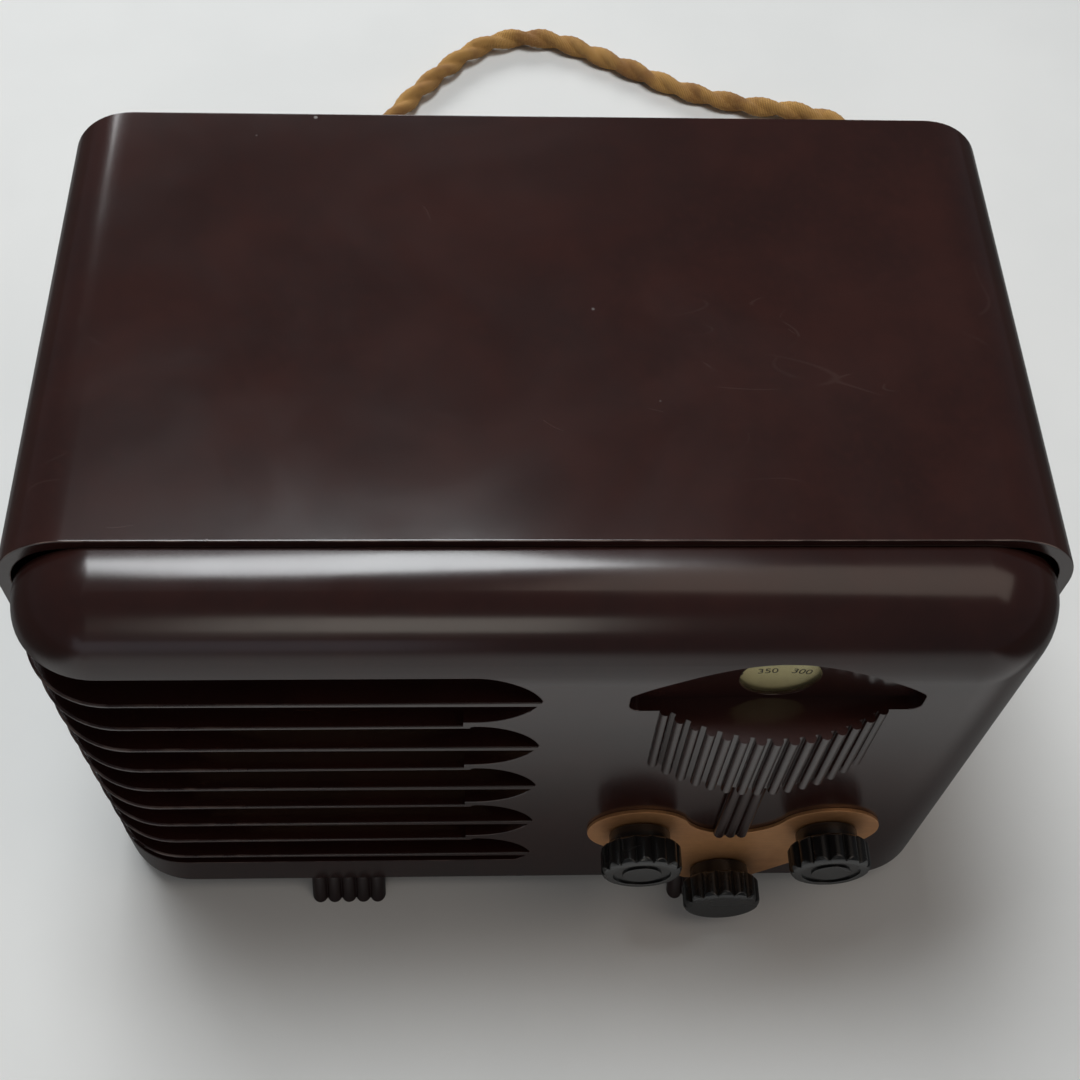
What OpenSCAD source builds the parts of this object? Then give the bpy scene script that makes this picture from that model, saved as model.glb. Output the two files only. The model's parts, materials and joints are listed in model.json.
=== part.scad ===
// Midget table tube radio with a louvered front, a reeded dial drum and three knobs.
// X runs across the cabinet, Y from front to back, Z up from the table.

/* [Cabinet] */
// Width of the rear shell
shell_w = 230; // [228:1:236]
// Depth of the rear shell from its front rim to its back edge
shell_d = 123.5; // [123:0.5:130]
// Height of the cabinet's top above the table
case_top = 152.2; // [151.2:0.5:155.2]
// Height of the rear shell's underside above the table
shell_under = 6; // [5.6:0.2:6.4]
// Wall thickness of the rear shell
shell_wall = 3.2; // [2.8:0.1:3.4]
// Radius of the rear shell's long top edges
shell_r = 17.2; // [14.2:0.5:18.2]
// Depth of the front panel in front of the rear shell
front_d = 22; // [21.5:0.5:23]
// Step from the rear shell's rim down to the front panel
rim_step = 2.2; // [1.8:0.1:2.4]
// Radius of the front panel's rounded edges
front_r = 20.5; // [19:0.5:21]
// Wall thickness of the front panel
front_wall = 3; // [2.6:0.1:3.2]

/* [Louvers] */
// Height of the lowest fin's middle above the table
fin_low = 27.8; // [27:0.1:28.6]
// Spacing of the fins
fin_pitch = 11.79; // [11.6:0.01:11.9]
// Thickness of a fin
fin_t = 1.4; // [1.2:0.1:1.6]
// How far the fins lie below the middles of the openings
fin_drop = 1.7; // [1.4:0.1:1.7]
// Height of the face left between two openings
land_h = 2.4; // [2.4:0.1:2.8]
// Number of fins
fin_count = 9; // [5:2:9]
// Depth of the louver recess below the face
louver_deep = 7; // [5:0.5:8]
// Place across the cabinet of the louver tips
louver_tip_x = -0.5; // [-3:0.5:1]
// Place across the cabinet where the points of the face between the openings end
point_x = -17; // [-18:0.1:-15.6]
// Radius of the arcs that form a louver tip
louver_tip_r = 15.2; // [14:0.2:18]

/* [Dial] */
// Place across the cabinet of the dial's middle
dial_x = 51; // [49:0.5:53]
// Height of the dial disc's axis
dial_z = 95; // [94:0.5:96]
// Radius of the dial disc
dial_r = 40.5; // [38:0.5:41]
// Height of the round window's middle
window_z = 126.9; // [126.7:0.1:127.5]
// Diameter of the round window
window_dia = 17.4; // [14:0.2:17.6]
// Depth of the eye-shaped recess round the window
eye_deep = 3.2; // [2.6:0.1:3.4]
// Half the width of the recess
eye_half_w = 32; // [30:0.1:34]
// Height of the recess's flat lower edge
eye_low_z = 117.2; // [116.6:0.1:117.4]
// Height of the recess at its middle
eye_h = 19.2; // [19:0.1:19.8]
// Radius of the recess's arched upper edge
eye_arch_r = 47.2; // [45.5:0.1:49]
// How far the reeded drum stands out of the face
drum_out = 8.5; // [6:0.5:9]
// Outer radius of the reeded drum
drum_r = 44.6; // [42:0.2:48]
// Height of the drum's lower end
drum_low_z = 88.5; // [84:0.5:90]
// Number of reeds on the drum
drum_reeds = 15; // [9:2:17]

/* [Controls] */
// Place across the cabinet of the middle knob
knob_x = 52.4; // [51:0.1:54]
// Distance of the outer knobs from the middle one
knob_apart = 24.35; // [23.5:0.05:25]
// Height of the two outer knobs
knob_high_z = 44.5; // [43.5:0.1:45.5]
// Height of the middle knob
knob_low_z = 17; // [16.6:0.1:17.4]
// Diameter of a knob's lobed flange
knob_dia = 20.8; // [18:0.2:22]
// Number of lobes on a knob
knob_lobes = 14; // [10:1:16]
// Distance from the face to the knobs' fronts
knob_out = 12.5; // [11.5:0.5:13.5]
// Diameter of the control shafts
shaft_dia = 6; // [5:0.5:6]

/* [Feet] */
// Distance from the middle to a foot's inner side
foot_in_x = 40; // [30:1:60]
// Width of a foot
foot_w = 20; // [16:1:24]
// Number of reeds on a front foot
foot_reeds = 5; // [3:1:5]

/* [Cord] */
// Diameter of the twisted cord
cord_dia = 7.7; // [7:0.1:7.7]
// Radius of the coil's outermost turn
coil_r = 52.5; // [52.5:0.1:54]
// Spacing of the coil's turns and of its two layers
coil_pitch = 8.3; // [8.3:0.05:8.5]

/* [Hidden] */
$fn = 64;

// A little more than a shared face, so that cuts pass right through
over = 1;
// Running clearance on the radius of a shaft in its hole
fit = 0.05;

seam_y = (front_d + knob_out - shell_d) / 2;
face_y = seam_y - front_d;
rear_y = seam_y + shell_d;
shell_in = shell_w / 2 - shell_wall;
shell_floor = shell_under + shell_wall;
shell_ceiling = case_top - shell_wall;
shell_low_r = 4;
front_half = shell_w / 2 - rim_step;
front_top = case_top - rim_step;
front_low = shell_under + 2;
front_floor = front_low + front_wall;

// Backing behind the louvers, thick enough to hold the speaker
louver_back = louver_deep + 2.5;
louver_half = fin_pitch - land_h / 2;
louver_straight_x = louver_tip_x - 13.9;
louver_low_z = fin_low - 6.2;
louver_side_y = seam_y - 3;
pad_right_x = louver_tip_x + 4;
pad_low_z = louver_low_z - 3;
pad_high_z = fin_low + (fin_count - 1) * fin_pitch + louver_half + 3;
pad_y = face_y + louver_back;

// Loudspeaker, its axis square to the face
speaker_x = -47;
speaker_z = fin_low + 4.25 * fin_pitch;
speaker_hole_r = 40;
speaker_r = 44;
speaker_screw_r = 42;
speaker_screw_turn = 45;
cloth_t = 0.5;
flange_t = 1.2;
flange_y = pad_y + cloth_t;
basket_back_y = flange_y + 26;
magnet_r = 22;

// Dial parts behind the face
pocket_y = face_y + eye_deep;
eye_rim = 2.5;
window_y = pocket_y + 0.8;
window_t = 0.8;
window_half = [12.5, 10.5];
disc_front_y = window_y + window_t + 0.5;
disc_t = 1.2;
hub_y = disc_front_y + disc_t;
hub_r = 18;
hub_rim_r = hub_r + 2.5;
hub_len = 3.6;
hub_rim_t = 0.9;
string_t = 1;
string_gap = 0.35;
string_y = hub_y + (hub_len - string_t) / 2;

// Sheet metal chassis, a tray turned upside down
sheet = 1.2;
deck_z = 60;
chassis_low = 11.5;
chassis_half = 97;
chassis_front = face_y + 13.3;
chassis_step_y = 2;
chassis_step_x = -2;
chassis_back = 62;
apron_y = chassis_front + sheet;

// Tuning capacitor over the deck
gang_half_w = 22;
gang_front_y = -45;
gang_back_y = 5;
gang_floor_z = dial_z - 22;
gang_wall = 1.5;
rotor_r = 19.5;
vane_t = 0.8;
vane_pitch = 2.6;
vane_count = 6;
vane_starts = [-40, -17];
shaft_r = shaft_dia / 2;

// Knobs, from the plate outwards
plate_t = 1;
plate_y = face_y - plate_t;
knob_front_y = face_y - knob_out;
knob_flange_len = 7.5;
knob_back_y = plate_y - 0.4;
knob_neck_r = 7.9;
control_hole_r = 5;
tuning_at = [knob_x + knob_apart, knob_high_z];
volume_at = [knob_x - knob_apart, knob_high_z];
band_at = [knob_x, knob_low_z];

// Fixings
screw_r = 1.6;
screw_head_r = 3.4;
front_screw_at = [[88, front_top - 6.5], [104, shell_floor + 5]];
back_screw_at = [[105.5, 30], [105.5, 118]];
bolt_at = [[86, 52], [86, 14]];
cover_y = rear_y - 4.5;
cover_t = 2.2;
cover_gap = 0.3;

// Tubes in a row along the back of the deck
tube_x = [-80, -42, -4, 34, 72];
tube_y = 42;
tube_r = 14.4;
tube_seat_z = deck_z + 3;
tube_base_h = 14;
tube_top_z = 135;
glass_t = 1;

// Cord: the points of the free stretch, one ring of the tube at each
cord_r = cord_dia / 2;
exit_x = -75;
exit_z = 22;
relief_y = rear_y + 29;
tie_t = 0.6;
coil_at = [66, 156];
coil_in_turn = -32.5;
coil_turns = 5 + 57.5 / 360;
coil_ease = 0.1;
coil_core_r = coil_r - coil_pitch * sqrt(pow(coil_turns / 2, 2) + pow(coil_ease, 2));
coil_low_z = tie_t + cord_r;
cord_points = [
    [-75, 108, 22], [-75, 116, 21], [-75, 124, 17.7], [-75, 130.3, 12.9],
    [-75, 136.6, 8.1], [-74.8, 144.3, 4.9], [-74.3, 152.6, 3.85],
    [-73, 166, 3.85], [-69.8, 181, 3.85], [-64.8, 197, 3.85], [-58.2, 214, 3.85],
    [-50.5, 230, 3.85], [-42, 245.5, 3.85], [-28.5, 263.5, 3.85], [-13.5, 278.5, 3.85],
    [3, 284.8, 3.85], [20, 282.5, 3.85], [44, 269.5, 3.85], [67, 256, 3.85],
    [90, 248, 3.85], [110, 244.5, 3.85], [125.5, 239, 3.85], [137.5, 229, 3.85],
    [145.5, 215.5, 3.85], [148, 200, 3.85], [146, 187, 3.85], [141, 175.8, 3.9],
    [132, 161.5, 4.1], [123, 147.5, 4.35]
];
lead_points = [[50, 103.3, 11.9], [40, 103.3, 10.6], [30, 103.4, 8.8], [22, 103.5, 7.8]];

// Plug lying on its flat side beside the coil
plug_z = 7.5;
plug_y = 103.5;
plug_x = 14;

// Tube swept along points, with a ring square to the path at each and its ends square to given
// ways, so that it meets its neighbours face to face
function unit(v) = v / norm(v);
function heading(p, i, start_way, end_way) =
    i == 0 ? start_way : i == len(p) - 1 ? end_way : unit(p[i + 1] - p[i - 1]);
function side_of(t) = unit(cross(t, [0, 0, 1]));
function ring(p, i, r, n, t) =
    let (a = side_of(t), b = cross(a, t))
    [for (k = [0:n - 1]) p[i] + r * (cos(360 * k / n) * a + sin(360 * k / n) * b)];
function route_length(p, i = 0) =
    i >= len(p) - 1 ? 0 : norm(p[i + 1] - p[i]) + route_length(p, i + 1);

module swept_tube(p, r, n, start_way, end_way) {
    last = len(p) - 1;
    skin = [for (i = [0:last]) each ring(p, i, r, n, heading(p, i, start_way, end_way))];
    sides = [for (i = [0:last - 1]) for (k = [0:n - 1])
        let (a = i * n + k, b = i * n + (k + 1) % n)
        each [[a, b, b + n], [a, b + n, a + n]]];
    caps = [[for (k = [n - 1:-1:0]) k], [for (k = [0:n - 1]) last * n + k]];
    polyhedron(skin, concat(sides, caps), convexity = 8);
}

// Coil: the spiral goes in on the lower layer, climbs in the half turn where it reverses,
// and comes out on the upper layer
function coil_climb(u) = let (s = min(max(u * 2 + 0.5, 0), 1)) s * s * (3 - 2 * s);
function coil_point(u) =
    let (r = coil_core_r + coil_pitch * sqrt(u * u + coil_ease * coil_ease),
         a = coil_in_turn - 360 * (u + coil_turns / 2))
    [coil_at.x + r * cos(a), coil_at.y + r * sin(a), coil_low_z + coil_pitch * coil_climb(u)];
coil_steps = round(24 * coil_turns);
coil_bend = [for (k = [0:coil_steps]) coil_point((k / coil_steps - 0.5) * coil_turns)];
coil_way_in = unit(coil_bend[1] - coil_bend[0]);
coil_way_out = unit(coil_bend[coil_steps] - coil_bend[coil_steps - 1]);
coil_start = coil_bend[0] - cord_dia * coil_way_in;
coil_end = coil_bend[coil_steps] + cord_dia * coil_way_out;
coil_path = concat([coil_start], coil_bend, [coil_end]);
cord_path = concat(cord_points, [coil_start]);
lead_path = concat([coil_end], lead_points);
coil_gap = min([for (i = [0:coil_steps]) for (k = [0:coil_steps]) if (k > i + 12)
    norm(coil_bend[i] - coil_bend[k])]) - cord_dia;
echo(coil_gap = coil_gap, coil_length = route_length(coil_path),
        cord_length = route_length(cord_path), lead_length = route_length(lead_path));

// Round bar along Y
module bar_y(at, r, y0, y1) {
    translate([at.x, y0, at.y]) rotate([-90, 0, 0]) cylinder(r = r, h = y1 - y0);
}

// Flat outline drawn on the front (X across, Z up), given depth from y0 back to y1
module on_front(y0, y1) {
    translate([0, y1, 0]) rotate([90, 0, 0]) linear_extrude(y1 - y0) children();
}

// Outline turned about an axis along Y; the outline's height runs back from y = 0
module turned_y(at, y) {
    translate([at.x, y, at.y]) rotate([-90, 0, 0]) rotate_extrude() children();
}

// Hexagonal nut with a bore, along Y
module nut_y(at, flats, r, y0, y1) {
    difference() {
        translate([at.x, y0, at.y]) rotate([-90, 0, 0]) cylinder(d = flats / cos(30), h = y1 - y0, $fn = 6);
        bar_y(at, r + fit, y0 - over, y1 + over);
    }
}

// Rounded cabinet outline: two top corners of one radius and two low ones of another
module cabinet_outline(half, low, top, top_r, low_r) {
    translate([-half, low + low_r]) square([2 * half, top - top_r - low - low_r]);
    translate([-half + top_r, top - top_r - over]) square([2 * (half - top_r), top_r + over]);
    translate([-half + low_r, low]) square([2 * (half - low_r), low_r + over]);
    for (s = [-1, 1]) {
        translate([s * (half - top_r), top - top_r]) circle(top_r);
        translate([s * (half - low_r), low + low_r]) circle(low_r);
    }
}

module quarter_disc(r) {
    intersection() {
        circle(r);
        square(r);
    }
}

// The front panel's outer form, drawn in by a distance on every side but the bottom and back;
// its pieces meet face to face
module front_form(in, low, back) {
    r = front_r - in;
    cx = front_half - front_r;
    cy = face_y + front_r;
    cz = front_top - front_r;
    for (s = [0, 1]) mirror([s, 0, 0]) {
        translate([cx, cy, low]) linear_extrude(cz - low) mirror([0, 1]) quarter_disc(r);
        translate([cx, cy, cz]) rotate(-90) rotate_extrude(angle = 90) quarter_disc(r);
        on_front(cy, back) translate([cx, cz]) quarter_disc(r);
    }
    translate([-cx, cy, cz]) rotate([90, 0, 90]) linear_extrude(2 * cx) mirror([1, 0]) quarter_disc(r);
    translate([-cx, cy - r, low]) cube([2 * cx, r, cz - low]);
    translate([-cx - r, cy, low]) cube([2 * (cx + r), back - cy, cz - low]);
    translate([-cx, cy, cz]) cube([2 * cx, back - cy, r]);
}

// One pointed louver opening, open towards the side of the cabinet
module louver_outline() {
    translate([-shell_w / 2 - over, -louver_half])
        square([louver_straight_x + shell_w / 2 + over, 2 * louver_half]);
    intersection() {
        translate([louver_straight_x, louver_half - louver_tip_r]) circle(louver_tip_r);
        translate([louver_straight_x, louver_tip_r - louver_half]) circle(louver_tip_r);
        translate([louver_straight_x - over, -louver_half]) square([20, 2 * louver_half]);
    }
}

// The openings joined behind the points of the face, with every fin left standing
module louver_cut() {
    difference() {
        on_front(face_y - over, louver_side_y) intersection() {
            union() {
                for (i = [0:2:fin_count - 1])
                    translate([0, fin_low + i * fin_pitch]) louver_outline();
                translate([-shell_w, louver_low_z])
                    square([shell_w + point_x, fin_low + (fin_count - 1) * fin_pitch - louver_low_z]);
            }
            translate([-shell_w, louver_low_z]) square([2 * shell_w, 2 * case_top]);
        }
        front_form(louver_deep, front_low - over, seam_y);
        for (i = [0:fin_count - 1])
            translate([-shell_w, face_y - 2 * over, fin_low + i * fin_pitch - fin_drop - fin_t / 2])
                cube([shell_w + (i % 2 == 0 ? 20 : point_x + 1.5), front_d, fin_t]);
    }
}

module eye_outline() {
    corner = 2.5;
    offset(corner) offset(delta = -corner) intersection() {
        translate([dial_x, eye_low_z + eye_h - eye_arch_r]) circle(eye_arch_r, $fn = 180);
        translate([dial_x - eye_half_w, eye_low_z]) square([2 * eye_half_w, 2 * eye_h]);
    }
}

// Thicker wall behind the recess, with a seat in its back for the window
module eye_pad() {
    intersection() {
        front_form(1, front_low, seam_y);
        on_front(face_y + 1.5, window_y + window_t) offset(eye_rim) eye_outline();
    }
}

// Reeded drum under the recess: a curved skin with round reeds along its arc;
// the recess's cut trims its top
module reeded_drum() {
    axis_y = face_y - drum_out + drum_r;
    reed_r = 1.25;
    reed_ring = drum_r - reed_r;
    spread = asin((drum_r - drum_out) / drum_r);
    step = 2 * (90 - spread) / drum_reeds;
    h = eye_low_z - drum_low_z + 3;
    intersection() {
        translate([dial_x, axis_y, drum_low_z]) union() {
            cylinder(r = drum_r - 1.7, h = h, $fn = 180);
            for (i = [0:drum_reeds - 1])
                rotate((i - (drum_reeds - 1) / 2) * step)
                    translate([0, -reed_ring, 0]) cylinder(r = reed_r, h = h, $fn = 24);
        }
        translate([dial_x - drum_r, face_y - drum_out - over, drum_low_z - over])
            cube([2 * drum_r, drum_out + 2 * over, eye_low_z]);
    }
}

module drum_hollow() {
    axis_y = face_y - drum_out + drum_r;
    intersection() {
        translate([dial_x, axis_y, drum_low_z + front_wall])
            cylinder(r = drum_r - 4, h = eye_low_z - drum_low_z - 2 * front_wall, $fn = 180);
        translate([dial_x - drum_r, face_y - drum_out - over, drum_low_z])
            cube([2 * drum_r, drum_out + front_wall + 2 * over, eye_low_z]);
    }
}

// Three reeds that run down from the drum to the control plate
module small_reeds() {
    for (i = [-1:1])
        translate([dial_x + 0.7 + i * 2.9, face_y - 1.1, knob_high_z - 0.5])
            cylinder(r = 1.5, h = drum_low_z - knob_high_z + 1.5, $fn = 32);
}

module front_panel() {
    color([0.17, 0.055, 0.035])
    difference() {
        union() {
            difference() {
                front_form(0, front_low, seam_y);
                front_form(front_wall, front_floor, seam_y + over);
            }
            difference() {
                intersection() {
                    front_form(0.5, front_low, seam_y - 1);
                    translate([-shell_w, face_y - over, pad_low_z])
                        cube([shell_w + pad_right_x, shell_d, pad_high_z - pad_low_z]);
                }
                front_form(louver_back, front_low - over, seam_y);
            }
            for (s = [-1, 1], p = front_screw_at)
                intersection() {
                    bar_y([s * p.x, p.y], 5, face_y, seam_y);
                    front_form(1, front_low, seam_y);
                }
            eye_pad();
            reeded_drum();
            small_reeds();
        }
        louver_cut();
        bar_y([speaker_x, speaker_z], speaker_hole_r, face_y + louver_deep - 0.5, pad_y + over);
        on_front(face_y - drum_out - 2 * over, pocket_y) eye_outline();
        bar_y([dial_x, window_z], window_dia / 2, pocket_y - over, window_y + over);
        on_front(window_y, window_y + window_t + over) window_outline(0.1);
        drum_hollow();
        for (at = [tuning_at, volume_at, band_at])
            bar_y(at, control_hole_r, face_y - over, face_y + front_wall + over);
        for (s = [-1, 1], p = front_screw_at)
            bar_y([s * p.x, p.y], screw_r + fit, seam_y - 12, seam_y + over);
        for (i = [0:3])
            bar_y(speaker_screw(i), 1.2 + fit, pad_y - 2, pad_y + over);
    }
}

function speaker_screw(i) =
    [speaker_x + speaker_screw_r * cos(speaker_screw_turn + 90 * i),
     speaker_z + speaker_screw_r * sin(speaker_screw_turn + 90 * i)];

module rear_shell() {
    color([0.15, 0.05, 0.035])
    difference() {
        union() {
            on_front(seam_y, rear_y) difference() {
                cabinet_outline(shell_w / 2, shell_under, case_top, shell_r, shell_low_r);
                cabinet_outline(shell_in, shell_floor, shell_ceiling, shell_r - shell_wall, 1);
            }
            intersection() {
                union() {
                    for (s = [-1, 1]) {
                        for (p = front_screw_at) bar_y([s * p.x, p.y], 6.3, seam_y, seam_y + 7.5);
                        for (p = back_screw_at) bar_y([s * p.x, p.y], 6.5, cover_y - 16, cover_y);
                        for (b = bolt_at)
                            translate([s * b.x, b.y, shell_floor - 0.5])
                                cylinder(r = 6, h = chassis_low - shell_floor + 0.5);
                    }
                }
                on_front(seam_y, rear_y)
                    cabinet_outline(shell_in + 1, shell_floor - 1, shell_ceiling + 1, shell_r - 2, 1);
            }
        }
        for (s = [-1, 1]) {
            for (p = front_screw_at)
                bar_y([s * p.x, p.y], screw_r + fit, seam_y - over, seam_y + 8);
            for (p = back_screw_at)
                bar_y([s * p.x, p.y], screw_r + fit, cover_y - 13, cover_y + over);
            for (b = bolt_at)
                translate([s * b.x, b.y, 0]) cylinder(r = 2 + fit, h = chassis_low + over);
        }
    }
}

module back_cover() {
    color([0.36, 0.24, 0.15])
    on_front(cover_y, cover_y + cover_t) difference() {
        cabinet_outline(shell_in - cover_gap, shell_floor + cover_gap, shell_ceiling - cover_gap,
            shell_r - shell_wall - cover_gap, 1);
        for (s = [-1, 1], p = back_screw_at) translate([s * p.x, p.y]) circle(screw_r + 0.1);
        for (i = [-7:7], k = [0:4])
            translate([i * 11 + (k % 2) * 5.5 - 2.75, 86 + k * 10]) circle(3);
        for (i = [-7:7]) if (abs(i) > 1) translate([i * 11 - 2.75, 50]) circle(3);
        translate([exit_x, exit_z]) circle(6.2);
    }
}

module back_screws() {
    color([0.75, 0.68, 0.5])
    for (s = [-1, 1], p = back_screw_at) {
        bar_y([s * p.x, p.y], screw_r, cover_y - 11, cover_y + cover_t + 0.1);
        difference() {
            bar_y([s * p.x, p.y], screw_head_r, cover_y + cover_t, cover_y + cover_t + 2);
            translate([s * p.x - 4, cover_y + cover_t + 1.3, p.y - 0.4]) cube([8, 1, 0.8]);
        }
    }
}

module front_screws() {
    color([0.7, 0.7, 0.68])
    for (s = [-1, 1], p = front_screw_at) {
        bar_y([s * p.x, p.y], screw_r, seam_y - 10, seam_y + 7.6);
        difference() {
            bar_y([s * p.x, p.y], screw_head_r, seam_y + 7.5, seam_y + 9.7);
            translate([s * p.x - 4, seam_y + 9, p.y - 0.4]) cube([8, 1, 0.8]);
        }
    }
}

// Front foot: a sloping toe with upright reeds
module front_foot(side) {
    toe = 4.3;
    h = front_low;
    pitch = foot_w / foot_reeds;
    lean = atan(toe / h);
    color([0.15, 0.05, 0.035])
    translate([side > 0 ? foot_in_x : -foot_in_x - foot_w, face_y - toe, 0]) difference() {
        union() {
            translate([foot_w, 0, 0]) rotate([90, 0, -90]) linear_extrude(foot_w)
                polygon([[-1.2 + over * toe / h, -over], [-1.2 - toe - over * toe / h, h + over],
                         [-toe - 15, h + over], [-toe - 13, -over]]);
            for (i = [0:foot_reeds - 1])
                translate([(i + 0.5) * pitch, 2.4, 0]) rotate([-lean, 0, 0])
                    translate([0, 0, -5]) cylinder(r = 2.2, h = 22, $fn = 32);
        }
        translate([-over, -20, -20]) cube([foot_w + 2 * over, 60, 20]);
        translate([-over, -20, h]) cube([foot_w + 2 * over, 60, 20]);
    }
}

module rear_foot(side) {
    h = shell_under;
    color([0.15, 0.05, 0.035])
    translate([side * (foot_in_x + foot_w / 2), rear_y - 20, 0])
        rotate_extrude()
            polygon([[0, 0], [foot_w / 2 - 1.5, 0], [foot_w / 2 - 0.4, 1], [foot_w / 2, h], [0, h]]);
}

module foot_front_left() front_foot(-1);
module foot_front_right() front_foot(1);
module foot_rear_left() rear_foot(-1);
module foot_rear_right() rear_foot(1);

module grille_cloth() {
    color([0.42, 0.33, 0.2])
    difference() {
        bar_y([speaker_x, speaker_z], speaker_r, pad_y, flange_y);
        for (i = [0:3]) bar_y(speaker_screw(i), 1.4, pad_y - over, flange_y + over);
    }
}

module speaker_basket() {
    neck_r = magnet_r - 2;
    rim_r = speaker_hole_r - 1;
    color([0.45, 0.45, 0.43])
    difference() {
        turned_y([speaker_x, speaker_z], flange_y)
            polygon([[rim_r - 1.5, 0], [speaker_r, 0], [speaker_r, flange_t], [rim_r, flange_t],
                     [neck_r + 1, basket_back_y - flange_y - flange_t],
                     [neck_r + 1, basket_back_y - flange_y], [8, basket_back_y - flange_y],
                     [8, basket_back_y - flange_y - flange_t],
                     [neck_r - 0.5, basket_back_y - flange_y - flange_t], [rim_r - 1.5, 2]]);
        for (i = [0:5])
            translate([speaker_x, 0, speaker_z]) rotate([0, 60 * i, 0])
                translate([-8, flange_y + 5, 15]) cube([16, 15, 30]);
        for (i = [0:3]) bar_y(speaker_screw(i), 1.4, flange_y - over, flange_y + flange_t + over);
    }
}

module speaker_cone() {
    rim_r = speaker_hole_r - 2.9;
    depth = basket_back_y - flange_y - 8;
    color([0.16, 0.15, 0.14])
    turned_y([speaker_x, speaker_z], flange_y + 0.3)
        polygon([[rim_r, 0], [rim_r, 1], [rim_r - 4, 1], [9, depth], [9, depth + 3], [8, depth + 3],
                 [8, depth - 2], [0, depth - 4], [0, depth - 5], [9, depth - 3], [rim_r - 5, 0]]);
}

module speaker_magnet() {
    color([0.5, 0.5, 0.5])
    turned_y([speaker_x, speaker_z], basket_back_y)
        polygon([[0, -2], [7, -2], [7, 0], [magnet_r, 0], [magnet_r, 3], [magnet_r - 3, 4],
                 [magnet_r - 3, 18], [magnet_r, 19], [magnet_r, 22], [0, 22]]);
}

module speaker_screws() {
    color([0.7, 0.7, 0.68])
    for (i = [0:3]) {
        bar_y(speaker_screw(i), 1.2, pad_y - 1.9, flange_y + flange_t + 0.1);
        bar_y(speaker_screw(i), 2, flange_y + flange_t, flange_y + flange_t + 1.4);
    }
}

// Output transformer: laminated core, bobbin and a strap on the deck
module output_transformer() {
    color([0.3, 0.28, 0.26])
    translate([-82, 15, deck_z]) {
        translate([-15, -8, 0]) cube([30, 16, 26]);
        translate([-8, -12, 6]) cube([16, 24, 14]);
        translate([-20, -7, 0]) cube([40, 14, 1.2]);
    }
}

module dial_disc() {
    color([0.86, 0.78, 0.52])
    difference() {
        bar_y([dial_x, dial_z], dial_r, disc_front_y, hub_y);
        bar_y([dial_x, dial_z], shaft_r + fit, disc_front_y - over, hub_y + over);
    }
}

module dial_hub() {
    color([0.72, 0.62, 0.36])
    turned_y([dial_x, dial_z], hub_y)
        polygon([[shaft_r + fit, 0], [hub_rim_r, 0], [hub_rim_r, hub_rim_t], [hub_r, hub_rim_t],
                 [hub_r, hub_len - hub_rim_t], [hub_rim_r, hub_len - hub_rim_t], [hub_rim_r, hub_len],
                 [7, hub_len], [7, hub_len + 2.5], [shaft_r + fit, hub_len + 2.5]]);
}

module window_outline(grow) {
    translate([dial_x, window_z]) square(2 * (window_half + [grow, grow]), center = true);
}

module dial_window() {
    color([0.9, 0.85, 0.7, 0.4])
    on_front(window_y, window_y + window_t) window_outline(0);
}

// Flat loop of string round the hub and the tuning shaft
module string_outline(grow) {
    hull() {
        translate([dial_x, dial_z]) circle(hub_r + string_gap + grow);
        translate(tuning_at) circle(shaft_r + string_gap + grow);
    }
}

module drive_cord() {
    color([0.8, 0.75, 0.6])
    on_front(string_y, string_y + string_t) difference() {
        string_outline(1);
        string_outline(0);
    }
}

// A control shaft with a flat where the grub screw bears
module control_shaft(at, back) {
    color([0.75, 0.75, 0.72])
    difference() {
        bar_y(at, shaft_r, knob_front_y + 2.2, back);
        translate([at.x - shaft_r, knob_front_y + 1.9, at.y - shaft_r - 0.5])
            cube([2 * shaft_r, 9, 1]);
    }
}

// Lobed knob; a ring groove marks the two outer ones
module control_knob(at, ringed) {
    lobe_r = 2.3;
    r = knob_dia / 2;
    neck_y = knob_front_y + knob_flange_len;
    color([0.06, 0.05, 0.05])
    difference() {
        union() {
            intersection() {
                on_front(knob_front_y, neck_y) translate(at) union() {
                    circle(r - 1);
                    for (i = [0:knob_lobes - 1])
                        rotate(360 * (i + 0.5) / knob_lobes) translate([r - lobe_r, 0])
                            circle(lobe_r, $fn = 24);
                }
                turned_y(at, knob_front_y)
                    polygon([[0, 0], [r - 1.6, 0], [r - 0.6, 0.4], [r + 0.1, 1.4],
                             [r + 0.1, knob_flange_len - 0.8], [r - 0.8, knob_flange_len],
                             [0, knob_flange_len]]);
            }
            bar_y(at, knob_neck_r, neck_y - 1, knob_back_y);
        }
        bar_y(at, shaft_r + fit, knob_front_y + 2, knob_back_y + over);
        translate([at.x, neck_y + 1.9, at.y - 10]) cylinder(r = 1.5 + fit, h = 10, $fn = 32);
        if (ringed)
            turned_y(at, knob_front_y - over) polygon([[5, 0], [7.4, 0], [7.4, over + 0.6], [5, over + 0.6]]);
    }
}

module grub_screw(at) {
    color([0.6, 0.6, 0.58])
    translate([at.x, knob_front_y + knob_flange_len + 1.9, at.y - knob_neck_r + 0.4])
        cylinder(r = 1.5, h = knob_neck_r - shaft_r - 0.4, $fn = 32);
}

// Bush through the apron, with its nut behind
module tuning_bush() {
    color([0.75, 0.65, 0.4])
    turned_y(tuning_at, chassis_front - 1)
        polygon([[shaft_r + fit, 0], [7, 0], [7, 1], [4.6, 1], [4.6, 9], [shaft_r + fit, 9]]);
}

module tuning_shaft() control_shaft(tuning_at, chassis_front + 12);
module tuning_knob() control_knob(tuning_at, true);
module tuning_grub() grub_screw(tuning_at);

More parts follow.
